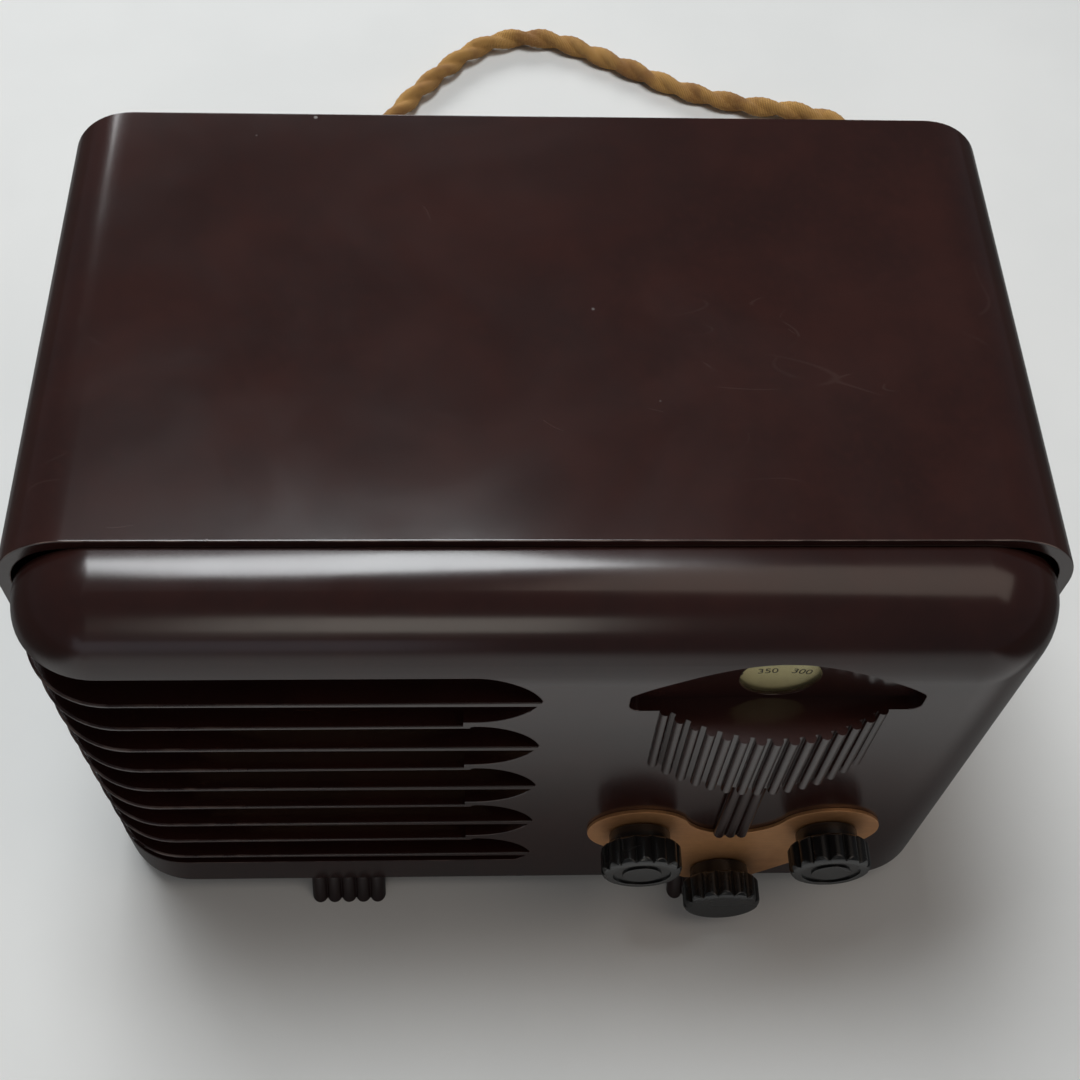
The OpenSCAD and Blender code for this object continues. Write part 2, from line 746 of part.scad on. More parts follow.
// Volume potentiometer hung on the apron by its bush
module volume_control() {
    color([0.68, 0.66, 0.6])
    difference() {
        union() {
            bar_y(volume_at, 12, apron_y, apron_y + 11);
            bar_y(volume_at, 4.6, apron_y - 7, apron_y + 1);
            translate([volume_at.x - 9, apron_y + 2, volume_at.y + 9]) cube([18, 1.2, 5]);
        }
        bar_y(volume_at, shaft_r + fit, apron_y - 8, apron_y + 9);
    }
}

module volume_shaft() control_shaft(volume_at, apron_y + 8);
module volume_knob() control_knob(volume_at, true);
module volume_grub() grub_screw(volume_at);

// Wafer switch: front plate with bush, two wafers and the spacers between
module band_switch() {
    low = chassis_low + 0.5;
    color([0.6, 0.5, 0.32])
    difference() {
        union() {
            bar_y(band_at, 4.2, apron_y - 7, apron_y + 1);
            for (y = [apron_y, apron_y + 8, apron_y + 16])
                translate([band_at.x - 14, y, low]) cube([28, 1.2, 21]);
            for (s = [-1, 1]) bar_y([band_at.x + 11 * s, low + 18], 1.5, apron_y, apron_y + 17);
        }
        bar_y(band_at, shaft_r + fit, apron_y - 8, apron_y + 20);
    }
}

module band_shaft() control_shaft(band_at, apron_y + 19);
module band_knob() control_knob(band_at, false);
module band_grub() grub_screw(band_at);

module control_nuts() {
    color([0.72, 0.7, 0.64])
    {
        nut_y(volume_at, 12, 4.6, chassis_front - 2.4, chassis_front);
        nut_y(band_at, 10.6, 4.2, chassis_front - 2.4, chassis_front);
        nut_y(tuning_at, 12, 4.6, apron_y, apron_y + 2.4);
    }
}

// Capacitor frame: base, two end plates and the raised feet that stand on the deck
module gang_frame() {
    color([0.66, 0.66, 0.63])
    difference() {
        union() {
            translate([dial_x - gang_half_w, gang_front_y, gang_floor_z])
                cube([2 * gang_half_w, gang_back_y - gang_front_y, gang_wall]);
            for (y = [gang_front_y, gang_back_y - gang_wall])
                translate([dial_x - gang_half_w, y, gang_floor_z])
                    cube([2 * gang_half_w, gang_wall, 2 * gang_half_w]);
            for (s = [-1, 1])
                translate([dial_x + s * 18 - 1, gang_front_y + 3, deck_z])
                    cube([2, gang_back_y - gang_front_y - 6, gang_floor_z - deck_z + 0.5]);
        }
        bar_y([dial_x, dial_z], shaft_r + fit, gang_front_y - over, gang_back_y + over);
    }
}

module gang_stator() {
    color([0.78, 0.78, 0.75])
    {
        for (y0 = vane_starts, i = [0:vane_count - 2])
            translate([0, y0 + vane_pitch / 2 + i * vane_pitch, 0])
                on_front(0, vane_t) difference() {
                    translate([dial_x - 21.2, dial_z - 18]) square([20, 36]);
                    translate([dial_x, dial_z]) circle(7);
                }
        for (s = [-1, 1])
            bar_y([dial_x - 19.6, dial_z + s * 12.5], 1.5, gang_front_y + gang_wall, gang_back_y - gang_wall);
    }
}

// Rotor: shaft and half-round vanes, half meshed at rest
module gang_rotor() {
    color([0.82, 0.82, 0.8])
    {
        bar_y([dial_x, dial_z], shaft_r, disc_front_y + 0.2, gang_back_y + 2);
        for (y0 = vane_starts) {
            bar_y([dial_x, dial_z], 5, y0 - 0.5, y0 + (vane_count - 1) * vane_pitch + vane_t + 0.5);
            for (i = [0:vane_count - 1])
                translate([0, y0 + i * vane_pitch, 0]) on_front(0, vane_t) intersection() {
                    translate([dial_x, dial_z]) circle(rotor_r - 0.5);
                    translate([dial_x - rotor_r, dial_z - 4]) square([2 * rotor_r, 2 * rotor_r]);
                }
        }
    }
}

module chassis_plan() {
    translate([-chassis_half, chassis_step_y])
        square([2 * chassis_half, chassis_back - chassis_step_y]);
    translate([chassis_step_x, chassis_front])
        square([chassis_half - chassis_step_x, chassis_step_y - chassis_front + over]);
}

// The same plan drawn in by the sheet's thickness
module chassis_inside() {
    translate([-chassis_half + sheet, chassis_step_y + sheet])
        square([2 * (chassis_half - sheet), chassis_back - chassis_step_y - 2 * sheet]);
    translate([chassis_step_x + sheet, chassis_front + sheet])
        square([chassis_half - chassis_step_x - 2 * sheet, chassis_step_y - chassis_front + over]);
}

module chassis() {
    color([0.62, 0.62, 0.58])
    difference() {
        union() {
            difference() {
                translate([0, 0, chassis_low]) linear_extrude(deck_z - chassis_low) chassis_plan();
                translate([0, 0, chassis_low - over])
                    linear_extrude(deck_z - chassis_low - sheet + over) chassis_inside();
            }
            for (s = [-1, 1])
                translate([s > 0 ? chassis_half - 18 : -chassis_half, chassis_step_y + 0.5, chassis_low])
                    cube([18, chassis_back - chassis_step_y - 1, sheet]);
        }
        for (x = tube_x)
            translate([x, tube_y, deck_z - 5]) cylinder(r = 11 + fit, h = 10);
        bar_y(volume_at, 4.6 + fit, chassis_front - over, apron_y + over);
        bar_y(tuning_at, 4.6 + fit, chassis_front - over, apron_y + over);
        bar_y(band_at, 4.2 + fit, chassis_front - over, apron_y + over);
        for (s = [-1, 1], b = bolt_at)
            translate([s * b.x, b.y, chassis_low - over]) cylinder(r = 2 + fit, h = 4);
        translate([-50, chassis_back - 5, 24]) rotate([-90, 0, 0]) cylinder(r = 6, h = 10);
    }
}

// Bolts from under the cabinet up into the chassis lips, with their nuts
module chassis_bolts() {
    color([0.7, 0.7, 0.68])
    for (s = [-1, 1], b = bolt_at)
        translate([s * b.x, b.y, 0]) {
            translate([0, 0, shell_under - 2.2]) difference() {
                cylinder(r = 3.8, h = 2.2);
                translate([-5, -0.5, -over]) cube([10, 1, 1 + over]);
            }
            translate([0, 0, shell_under - 0.1]) cylinder(r = 2, h = 11);
            translate([0, 0, chassis_low + sheet]) cylinder(d = 7.6, h = 3, $fn = 6);
        }
}

module tube_sockets() {
    color([0.12, 0.1, 0.09])
    for (x = tube_x)
        translate([x, tube_y, 0]) {
            translate([0, 0, deck_z]) cylinder(r = 15.5, h = 3);
            translate([0, 0, deck_z - 8]) cylinder(r = 11, h = 9);
        }
}

module tube_bases() {
    color([0.1, 0.08, 0.07])
    for (x = tube_x)
        translate([x, tube_y, tube_seat_z]) cylinder(r = 13.8, h = tube_base_h);
}

// Electrodes: a stem on the base, two mica discs and the anode between
module tube_plates() {
    low = tube_seat_z + tube_base_h;
    color([0.3, 0.3, 0.31])
    for (x = tube_x)
        translate([x, tube_y, low]) {
            cylinder(r = 4, h = 6);
            translate([0, 0, 5]) cylinder(r = 11, h = 0.8);
            translate([0, 0, 5.5]) cylinder(r = 7, h = 30);
            translate([0, 0, 35]) cylinder(r = 11, h = 0.8);
        }
}

// Glass bulb: straight sides, a rounded shoulder and a domed top
module tube_bulb(i) {
    low = tube_seat_z + tube_base_h;
    h = tube_top_z - low;
    dome = 10;
    color([0.75, 0.8, 0.82, 0.35])
    translate([tube_x[i - 1], tube_y, low]) rotate_extrude() difference() {
        union() {
            square([tube_r, h - dome]);
            square([tube_r - dome, h]);
            translate([tube_r - dome, h - dome]) quarter_disc(dome);
        }
        translate([0, -over]) {
            square([tube_r - glass_t, h - dome + over]);
            square([tube_r - dome, h - glass_t + over]);
            translate([tube_r - dome, h - dome + over]) quarter_disc(dome - glass_t);
        }
    }
}

module tube_bulb_1() tube_bulb(1);
module tube_bulb_2() tube_bulb(2);
module tube_bulb_3() tube_bulb(3);
module tube_bulb_4() tube_bulb(4);
module tube_bulb_5() tube_bulb(5);

// Screened intermediate-frequency transformer
module if_can(at, w, h) {
    r = 4;
    color([0.72, 0.72, 0.7])
    translate([at.x, at.y, deck_z]) {
        linear_extrude(h) union() {
            square([w, w - 2 * r], center = true);
            square([w - 2 * r, w], center = true);
            for (a = [-1, 1], b = [-1, 1]) translate([a * (w / 2 - r), b * (w / 2 - r)]) circle(r);
        }
        translate([0, 0, h - 0.1]) cylinder(r = 2.5, h = 2.1);
    }
}

module if_can_1() if_can([14, -22], 26, 62);
module if_can_2() if_can([-9, 13], 26, 62);

module filter_can() {
    color([0.7, 0.7, 0.68])
    translate([86, 8, deck_z]) rotate_extrude()
        polygon([[0, 0], [11.5, 0], [11.5, 1.5], [10.5, 2], [10.5, 58], [9.5, 59], [0, 59]]);
}

// Strap on the capacitor's front plate with a sleeve for the bulb
module lamp_holder() {
    y = gang_front_y;
    color([0.75, 0.65, 0.4])
    difference() {
        union() {
            translate([dial_x - 4, y - sheet, dial_z + 8]) cube([8, sheet, 30]);
            bar_y([dial_x, window_z - 2], 5.8, y - 2, y + 9);
        }
        bar_y([dial_x, window_z - 2], 4.6 + fit, y - 3, y + 7);
    }
}

module dial_lamp() {
    y = gang_front_y;
    at = [dial_x, window_z - 2];
    color([0.9, 0.85, 0.7, 0.6])
    {
        bar_y(at, 4.6, y - 3, y + 6);
        bar_y(at, 3, y - 6, y - 2);
        translate([at.x, y - 6.5, at.y]) sphere(4.2);
    }
}

// Copper plate behind the knobs: three round ears joined by straight and hollowed edges,
// which run a hair inside the ears' tangents
module escutcheon_outline() {
    ear = 13.6;
    ear_z = knob_high_z + 0.5;
    low_z = knob_low_z + 2;
    drop = ear_z - low_z;
    side = (ear - 0.03) * [drop, knob_apart] / norm([drop, knob_apart]);
    hollow_r = 13.6;
    hollow_z = ear_z - 2 + hollow_r;
    waist = (ear - 0.5) * [knob_apart, hollow_z - ear_z] / norm([knob_apart, hollow_z - ear_z]);
    translate([knob_x, 0]) difference() {
        union() {
            for (s = [-1, 1]) translate([s * knob_apart, ear_z]) circle(ear);
            translate([0, low_z]) circle(ear);
            polygon([[-knob_apart - side.x, ear_z - side.y], [-side.x, low_z - side.y],
                     [side.x, low_z - side.y], [knob_apart + side.x, ear_z - side.y]]);
            polygon([[-knob_apart, ear_z], [0, low_z], [knob_apart, ear_z],
                     [knob_apart - waist.x, ear_z + waist.y], [-knob_apart + waist.x, ear_z + waist.y]]);
        }
        translate([0, hollow_z]) circle(hollow_r);
        translate([-30, -20]) square([60, front_low + 20.4]);
    }
}

module escutcheon() {
    color([0.72, 0.4, 0.24])
    on_front(plate_y, face_y) difference() {
        escutcheon_outline();
        for (at = [tuning_at, volume_at, band_at]) translate(at) circle(control_hole_r);
    }
}

// Rubber grommet in the back cover
module cord_gland() {
    color([0.08, 0.07, 0.07])
    turned_y([exit_x, exit_z], cover_y - 1.5)
        polygon([[cord_r + 0.2, 0], [8, 0], [8, 1.5], [6.1, 1.5], [6.1, 1.5 + cover_t], [8, 1.5 + cover_t],
                 [8, 6], [cord_r + 0.2, 6]]);
}

// Tapered sleeve that keeps the cord from bending sharply where it leaves
module strain_relief() {
    len = relief_y - rear_y;
    color([0.1, 0.08, 0.07])
    turned_y([exit_x, exit_z], rear_y)
        polygon([[0, 0], [7.2, 0], [7.2, 2], [6, 4], [cord_r + 0.7, len - 1], [cord_r + 0.3, len], [0, len]]);
}

module cord() {
    color([0.5, 0.33, 0.16]) swept_tube(cord_path, cord_r, 8, [0, 1, 0], coil_way_in);
}

module coil() {
    color([0.5, 0.33, 0.16]) swept_tube(coil_path, cord_r, 6, coil_way_in, coil_way_out);
}

module plug_lead() {
    color([0.5, 0.33, 0.16]) swept_tube(lead_path, cord_r, 8, coil_way_out, [-1, 0, 0]);
}

// Flat-sided plug: a neck for the cord and a waisted body
module plug_body() {
    color([0.1, 0.08, 0.07])
    translate([plug_x, plug_y, plug_z]) {
        translate([8, 0, 0]) rotate([0, -90, 0])
            rotate_extrude() polygon([[0, 0], [cord_r + 0.5, 0], [6.5, 5], [6.8, 10], [0, 10]]);
        translate([-24, 0, -plug_z]) linear_extrude(2 * plug_z) {
            translate([0, -11]) square([24, 22]);
            translate([6, 0]) circle(13);
        }
    }
}

module plug_pins() {
    color([0.75, 0.65, 0.4])
    for (s = [-1, 1])
        translate([plug_x - 48, plug_y + s * 6.35 - 0.75, plug_z - 3.2]) cube([16, 1.5, 6.4]);
}

// Flat tie round the coil's two layers
module cord_tie() {
    inner = coil_core_r - cord_r - 1.5;
    outer = coil_r + cord_r + 1.5;
    top = coil_low_z + coil_pitch + cord_r + 1;
    color([0.12, 0.11, 0.1])
    translate([coil_at.x, coil_at.y, 0]) rotate(160) translate([0, -3, 0]) difference() {
        translate([inner, 0, 0]) cube([outer - inner, 6, top]);
        translate([inner + tie_t, -over, tie_t])
            cube([outer - inner - 2 * tie_t, 6 + 2 * over, top - 2 * tie_t]);
    }
}

front_panel();
rear_shell();
back_cover();
back_screws();
front_screws();
foot_front_left();
foot_front_right();
foot_rear_left();
foot_rear_right();
grille_cloth();
speaker_basket();
speaker_cone();
speaker_magnet();
speaker_screws();
output_transformer();
dial_disc();
dial_hub();
dial_window();
drive_cord();
tuning_shaft();
tuning_bush();
tuning_knob();
tuning_grub();
volume_control();
volume_shaft();
volume_knob();
volume_grub();
band_switch();
band_shaft();
band_knob();
band_grub();
gang_frame();
gang_stator();
gang_rotor();
chassis();
chassis_bolts();
tube_sockets();
tube_bases();
tube_plates();
tube_bulb_1();
tube_bulb_2();
tube_bulb_3();
tube_bulb_4();
tube_bulb_5();
if_can_1();
if_can_2();
filter_can();
lamp_holder();
dial_lamp();
escutcheon();
control_nuts();
cord_gland();
strain_relief();
cord();
coil();
plug_lead();
plug_body();
plug_pins();
cord_tie();
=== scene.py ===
"""Looks of a midget tube radio in dark moulded resin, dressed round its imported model."""

import json
import math

import bmesh
import bpy
from mathutils import Matrix, Vector

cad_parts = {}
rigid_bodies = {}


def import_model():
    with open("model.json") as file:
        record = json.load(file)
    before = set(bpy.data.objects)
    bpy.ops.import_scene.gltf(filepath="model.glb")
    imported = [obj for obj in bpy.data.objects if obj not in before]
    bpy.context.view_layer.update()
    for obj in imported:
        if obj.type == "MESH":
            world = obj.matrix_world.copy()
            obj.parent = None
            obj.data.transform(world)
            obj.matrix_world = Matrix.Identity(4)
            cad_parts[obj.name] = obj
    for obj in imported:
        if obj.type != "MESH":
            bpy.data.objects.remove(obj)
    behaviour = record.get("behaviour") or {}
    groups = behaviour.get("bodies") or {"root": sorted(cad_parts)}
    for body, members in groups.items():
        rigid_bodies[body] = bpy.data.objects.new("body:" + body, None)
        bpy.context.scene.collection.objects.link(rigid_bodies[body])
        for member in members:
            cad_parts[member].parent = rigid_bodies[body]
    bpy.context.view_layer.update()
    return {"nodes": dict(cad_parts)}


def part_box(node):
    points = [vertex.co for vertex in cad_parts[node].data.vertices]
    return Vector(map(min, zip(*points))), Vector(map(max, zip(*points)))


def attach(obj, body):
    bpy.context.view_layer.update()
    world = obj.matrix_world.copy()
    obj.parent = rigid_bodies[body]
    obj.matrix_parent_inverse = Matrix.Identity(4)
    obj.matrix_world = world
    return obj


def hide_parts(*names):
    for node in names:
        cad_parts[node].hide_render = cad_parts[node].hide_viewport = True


for stray in list(bpy.data.objects):
    bpy.data.objects.remove(stray)
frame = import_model()
MM = 0.001

# Camera
# It stands over the front of the set and looks steeply down at it, turned a little to the right
# and tipped to one side, as the photograph was taken.
VIEW_FROM = Vector((-13.88, -201.70, 410.57)) * MM
VIEW_PITCH = math.radians(58.554)
VIEW_YAW = math.radians(4.657)
VIEW_ROLL = math.radians(-3.91)
VIEW_LENS = 49.34

ahead = Vector((math.sin(VIEW_YAW) * math.cos(VIEW_PITCH), math.cos(VIEW_YAW) * math.cos(VIEW_PITCH),
                -math.sin(VIEW_PITCH)))
level_right = ahead.cross(Vector((0, 0, 1))).normalized()
level_down = ahead.cross(level_right)
right = math.cos(VIEW_ROLL) * level_right + math.sin(VIEW_ROLL) * level_down
down = math.cos(VIEW_ROLL) * level_down - math.sin(VIEW_ROLL) * level_right
camera = bpy.data.objects.new("camera", bpy.data.cameras.new("camera"))
camera.data.lens = VIEW_LENS
camera.data.sensor_width = 36
camera.matrix_world = Matrix.Translation(VIEW_FROM) @ Matrix((right, -down, -ahead)).transposed().to_4x4()
bpy.context.scene.collection.objects.link(camera)
bpy.context.scene.camera = camera

# Supply cord
# Two cotton covered strands twisted together, 1.87 m long. It leaves the strain relief, lies in one
# arch behind the cabinet and goes into a neat coil of two layers, from which a short lead meets the plug.
CORD_R = 3.85 * MM
STRAND_R = 2.55 * MM
STRAND_OUT = CORD_R - STRAND_R
CORD_TWIST = 27 * MM
CORD_STEP = 2.6 * MM
CORD_REACH = 284.7 * MM
STRAND_POINTS = 11
BRAID_PITCH = 0.95
BRAID_LEAN = 0.72
CORD_ROUTE = [
    (-0.075, 0.108, 0.022), (-0.075, 0.116, 0.021), (-0.075, 0.124, 0.0177), (-0.075, 0.1303, 0.0129),
    (-0.075, 0.1366, 0.0081), (-0.0748, 0.1443, 0.0049), (-0.0743, 0.1526, 0.00385),
    (-0.073, 0.166, 0.00385), (-0.0698, 0.181, 0.00385), (-0.0648, 0.197, 0.00385),
    (-0.0582, 0.214, 0.00385), (-0.0505, 0.23, 0.00385), (-0.042, 0.2455, 0.00385),
    (-0.0285, 0.2635, 0.00385), (-0.0135, 0.2785, 0.00385), (0.003, 0.2848, 0.00385),
    (0.02, 0.2825, 0.00385), (0.044, 0.2695, 0.00385), (0.067, 0.256, 0.00385), (0.09, 0.248, 0.00385),
    (0.11, 0.2445, 0.00385), (0.1255, 0.239, 0.00385), (0.1375, 0.229, 0.00385),
    (0.1455, 0.2155, 0.00385), (0.148, 0.2, 0.00385), (0.146, 0.187, 0.00385), (0.141, 0.1758, 0.0039),
    (0.132, 0.1615, 0.0041), (0.123, 0.1475, 0.00435),
]
LEAD_ROUTE = [
    (0.05, 0.1033, 0.0119), (0.04, 0.1033, 0.0106), (0.03, 0.1034, 0.0088), (0.022, 0.1035, 0.0078),
]
COIL_AT = Vector((66, 156, 4.45)) * MM
COIL_R = 52.5 * MM
COIL_PITCH = 8.3 * MM
COIL_TURNS = 5 + 57.5 / 360
COIL_EASE = 0.1
COIL_IN_TURN = -32.5
COIL_STEPS = 250


def coil_point(share):
    """Point of the coil at a share of its turns: inwards below, up where it reverses, outwards on top."""
    u = (share - 0.5) * COIL_TURNS
    core = COIL_R - COIL_PITCH * math.hypot(COIL_TURNS / 2, COIL_EASE)
    r = core + COIL_PITCH * math.hypot(u, COIL_EASE)
    a = math.radians(COIL_IN_TURN - 360 * (u + COIL_TURNS / 2))
    climb = min(max(2 * u + 0.5, 0), 1)
    rise = COIL_PITCH * climb * climb * (3 - 2 * climb)
    return COIL_AT + Vector((r * math.cos(a), r * math.sin(a), rise))


def smooth_line(points, steps=8):
    """A line of many points through a few, with no corner at any of them."""
    points = [Vector(p) for p in points]
    points = [2 * points[0] - points[1], *points, 2 * points[-1] - points[-2]]
    line = []
    for a, b, c, d in zip(points, points[1:], points[2:], points[3:]):
        for k in range(steps):
            t = k / steps
            line.append(0.5 * (2 * b + (c - a) * t + (2 * a - 5 * b + 4 * c - d) * t * t
                               + (3 * b - a - 3 * c + d) * t ** 3))
    return [*line, points[-2]]


def even_line(line, step):
    """The same line with its points an even distance apart."""
    lengths = [0]
    for a, b in zip(line, line[1:]):
        lengths.append(lengths[-1] + (b - a).length)
    count = round(lengths[-1] / step)
    even, at = [], 0
    for k in range(count + 1):
        along = lengths[-1] * k / count
        while at < len(line) - 2 and lengths[at + 1] < along:
            at += 1
        share = (along - lengths[at]) / max(lengths[at + 1] - lengths[at], 1e-9)
        even.append(line[at].lerp(line[at + 1], share))
    return even


def new_piece(name, bm, material, smooth=40):
    """The mesh as an object of that name, shaded smooth where its faces meet at a small angle."""
    mesh = bpy.data.meshes.new(name)
    bm.to_mesh(mesh)
    bm.free()
    mesh.materials.append(material)
    mesh.shade_smooth()
    mesh.set_sharp_from_angle(angle=math.radians(smooth))
    piece = bpy.data.objects.new(name, mesh)
    bpy.context.scene.collection.objects.link(piece)
    return piece


def twisted_strands(line, strand_r, strand_out, twist):
    """Two strands turning round each other along a line. The map gives millimetres round and along."""
    half = math.pi - math.acos(strand_out / strand_r)
    outline = []
    for side in (0, 1):
        for k in range(STRAND_POINTS):
            t = half * (2 * k / STRAND_POINTS - 1)
            x = strand_out + strand_r * math.cos(t)
            y = strand_r * math.sin(t)
            outline.append((x, y, t) if side == 0 else (-x, -y, t))
    bm = bmesh.new()
    uv = bm.loops.layers.uv.new("around_along")
    rings, along = [], 0
    sideways = (line[1] - line[0]).cross(Vector((0, 0, 1))).normalized()
    for i, p in enumerate(line):
        heading = (line[min(i + 1, len(line) - 1)] - line[max(i - 1, 0)]).normalized()
        sideways = (sideways - heading * sideways.dot(heading)).normalized()
        upwards = heading.cross(sideways)
        if i:
            along += (p - line[i - 1]).length
        turn = 2 * math.pi * along / twist
        a = math.cos(turn) * sideways + math.sin(turn) * upwards
        b = heading.cross(a)
        rings.append(([bm.verts.new(p + a * x + b * y) for x, y, t in outline], along))
    count = len(outline)
    for (one, here), (two, there) in zip(rings, rings[1:]):
        for k in range(count):
            n = (k + 1) % count
            face = bm.faces.new((one[k], one[n], two[n], two[k]))
            t0 = outline[k][2]
            t1 = t0 + 2 * half / STRAND_POINTS
            for loop, (t, s) in zip(face.loops, ((t0, here), (t1, here), (t1, there), (t0, there))):
                loop[uv].uv = (strand_r * t / MM, s / MM)
    bm.faces.new(list(reversed(rings[0][0])))
    bm.faces.new(rings[-1][0])
    return bm


def fill(tree, node, inputs):
    """Links a node's inputs to the sockets given for them, and sets the rest."""
    for key, value in inputs.items():
        if isinstance(value, bpy.types.NodeSocket):
            tree.links.new(value, node.inputs[key])
        else:
            node.inputs[key].default_value = value


def put(tree, kind, inputs=None, **settings):
    """A new shader node with its settings made and its inputs filled."""
    node = tree.nodes.new("ShaderNode" + kind)
    for key, value in settings.items():
        setattr(node, key, value)
    fill(tree, node, inputs or {})
    return node


def own_place(tree):
    """Where each spot of the piece lies, in metres."""
    return put(tree, "TexCoord").outputs["Object"]


def axes_of(tree, place):
    """A place taken apart, as X, Y and Z."""
    return put(tree, "SeparateXYZ", {"Vector": place}).outputs


def noise(tree, place, scale, detail=3.0, **inputs):
    """Fine noise on a place, scale blots to the metre."""
    inputs = {"Vector": place, "Scale": float(scale), "Detail": float(detail), **inputs}
    return put(tree, "TexNoise", inputs).outputs["Fac"]


def mixed(tree, share, a, b):
    """The colour between two, each given as red, green and blue or as a socket."""
    a, b = ((*colour, 1) if isinstance(colour, tuple) else colour for colour in (a, b))
    return put(tree, "Mix", {0: share, 6: a, 7: b}, data_type="RGBA").outputs[2]


def spread(tree, value, low, high, to_low=0.0, to_high=1.0):
    """A value's range from low to high, laid smoothly on another range."""
    inputs = {"Value": value, "From Min": low, "From Max": high, "To Min": to_low, "To Max": to_high}
    return put(tree, "MapRange", inputs, interpolation_type="SMOOTHSTEP").outputs["Result"]


def tinted(tree, value, low, high, a, b, most=1.0):
    """Colour a where a value is low, with up to the share most of colour b where it is high."""
    return mixed(tree, spread(tree, value, low, high, 0.0, most), a, b)


def calculate(tree, operation, a, b=0.0):
    return put(tree, "Math", {0: a, 1: b}, operation=operation).outputs[0]


def times(tree, a, b):
    return calculate(tree, "MULTIPLY", a, b)


def new_finish(name, **sockets):
    """A material of one Principled shader, its sockets named with _ for a space. Gives it and its tree."""
    material = bpy.data.materials.new(name)
    material.use_nodes = True
    shader = material.node_tree.nodes["Principled BSDF"]
    for key, value in sockets.items():
        label = "IOR" if key == "ior" else key.replace("_", " ").title()
        shader.inputs[label].default_value = value
    return material, material.node_tree, shader


def feed(tree, value, shader, label):
    tree.links.new(value, shader.inputs[label])


def bumped(tree, height, shader, depth):
    """Gives the shader a bump that is depth metres deep."""
    bump = put(tree, "Bump", {"Height": height, "Distance": depth, "Strength": 1.0})
    feed(tree, bump.outputs["Normal"], shader, "Normal")


cord_cotton, tree, shader = new_finish("cord_cotton", roughness=0.9, sheen_weight=0.05, sheen_roughness=0.5)
split = axes_of(tree, put(tree, "UVMap", uv_map="around_along").outputs["UV"])
threads = []
for lean in (BRAID_LEAN, -BRAID_LEAN):
    across = calculate(tree, "ADD", split["X"], times(tree, split["Y"], lean))
    threads.append(calculate(tree, "SINE", times(tree, across, 2 * math.pi / BRAID_PITCH)))
plait = spread(tree, times(tree, threads[0], threads[1]), -1.0, 1.0)
place = own_place(tree)
fuzz = noise(tree, place, 2600.0)
soil = noise(tree, place, 85.0, 5.0)
# Painted shade between the braid's threads and a painted highlight on their crowns, following the same
# pattern as the bump.
colour = mixed(tree, plait, (0.29, 0.125, 0.030), (0.70, 0.40, 0.110))
colour = tinted(tree, soil, 0.42, 0.68, colour, (0.29, 0.13, 0.035))
colour = tinted(tree, fuzz, 0.45, 0.75, colour, (0.52, 0.33, 0.12), 0.45)
feed(tree, colour, shader, "Base Color")
bumped(tree, calculate(tree, "ADD", plait, times(tree, fuzz, 0.5)), shader, 0.22 * MM)

cord_line = smooth_line([*CORD_ROUTE, coil_point(0)])
cord_line = cord_line[:-1] + [coil_point(k / COIL_STEPS) for k in range(COIL_STEPS + 1)]
lead_line = smooth_line([coil_point(1), *LEAD_ROUTE])
cord_line = even_line(cord_line + lead_line[1:], CORD_STEP)
cord_line = [Vector((p.x, min(p.y, CORD_REACH), max(p.z, CORD_R))) for p in cord_line]
supply_cord = new_piece("supply_cord", twisted_strands(cord_line, STRAND_R, STRAND_OUT, CORD_TWIST),
                        cord_cotton, 60)
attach(supply_cord, "cabinet")
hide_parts("cord", "coil", "plug_lead")

# Studio
# A plain pale floor, a large soft lamp over and a little behind the set, a low one far behind it, dim ones
# before it and to its right, and a dim room. In the set's gloss the floor shows a painted reflection and
# painted shade.
FLOOR_COLOUR = (0.755, 0.755, 0.742)
FLOOR_BLOTS = (0.725, 0.727, 0.715)
FLOOR_HALF = 6
SET_FRONT = -70 * MM
ROOM_COLOUR = (0.83, 0.84, 0.83, 1)
ROOM_LIGHT = 0.10

floor_paint, tree, shader = new_finish("floor_paint", roughness=0.9)
place = own_place(tree)
grain = noise(tree, place, 14.0, 5.0)
feed(tree, tinted(tree, grain, 0.3, 0.7, FLOOR_COLOUR, FLOOR_BLOTS), shader, "Base Color")
# Painted reflection: in glossy and transmission rays the floor glows before the set, less further off, and
# painted shade dims it close under the set and at its sides.
rays = put(tree, "LightPath")
seen = calculate(tree, "MAXIMUM", rays.outputs["Is Glossy Ray"], rays.outputs["Is Transmission Ray"])
split = axes_of(tree, place)
before = calculate(tree, "MAXIMUM", calculate(tree, "SUBTRACT", SET_FRONT, split["Y"]), 0.0)
aside = calculate(tree, "ABSOLUTE", split["X"])
aside = calculate(tree, "SUBTRACT", aside, times(tree, before, 0.35))
painted_reflection = put(tree, "Emission", {"Color": ROOM_COLOUR, "Strength": 0.8}).outputs[0]
painted_shade = put(tree, "Emission", {"Color": ROOM_COLOUR, "Strength": 0.06}).outputs[0]
bright = times(tree, spread(tree, before, 0.025, 0.09), spread(tree, before, 0.5, 1.1, 1.0, 0.3))
bright = times(tree, bright, spread(tree, split["X"], 0.03, 0.2, 1.0, 0.45))
both = put(tree, "MixShader", {0: times(tree, seen, bright), 1: shader.outputs[0], 2: painted_reflection})
painted_shade_near = spread(tree, before, 0.004, 0.05, 0.85, 0.0)
painted_shade_share = times(tree, seen, calculate(tree, "MAXIMUM", spread(tree, aside, 0.20, 0.30), painted_shade_near))
both = put(tree, "MixShader", {0: painted_shade_share, 1: both.outputs[0], 2: painted_shade})
tree.links.new(both.outputs[0], tree.nodes["Material Output"].inputs["Surface"])
bm = bmesh.new()
bmesh.ops.create_grid(bm, x_segments=8, y_segments=8, size=FLOOR_HALF)
floor = new_piece("floor", bm, floor_paint)

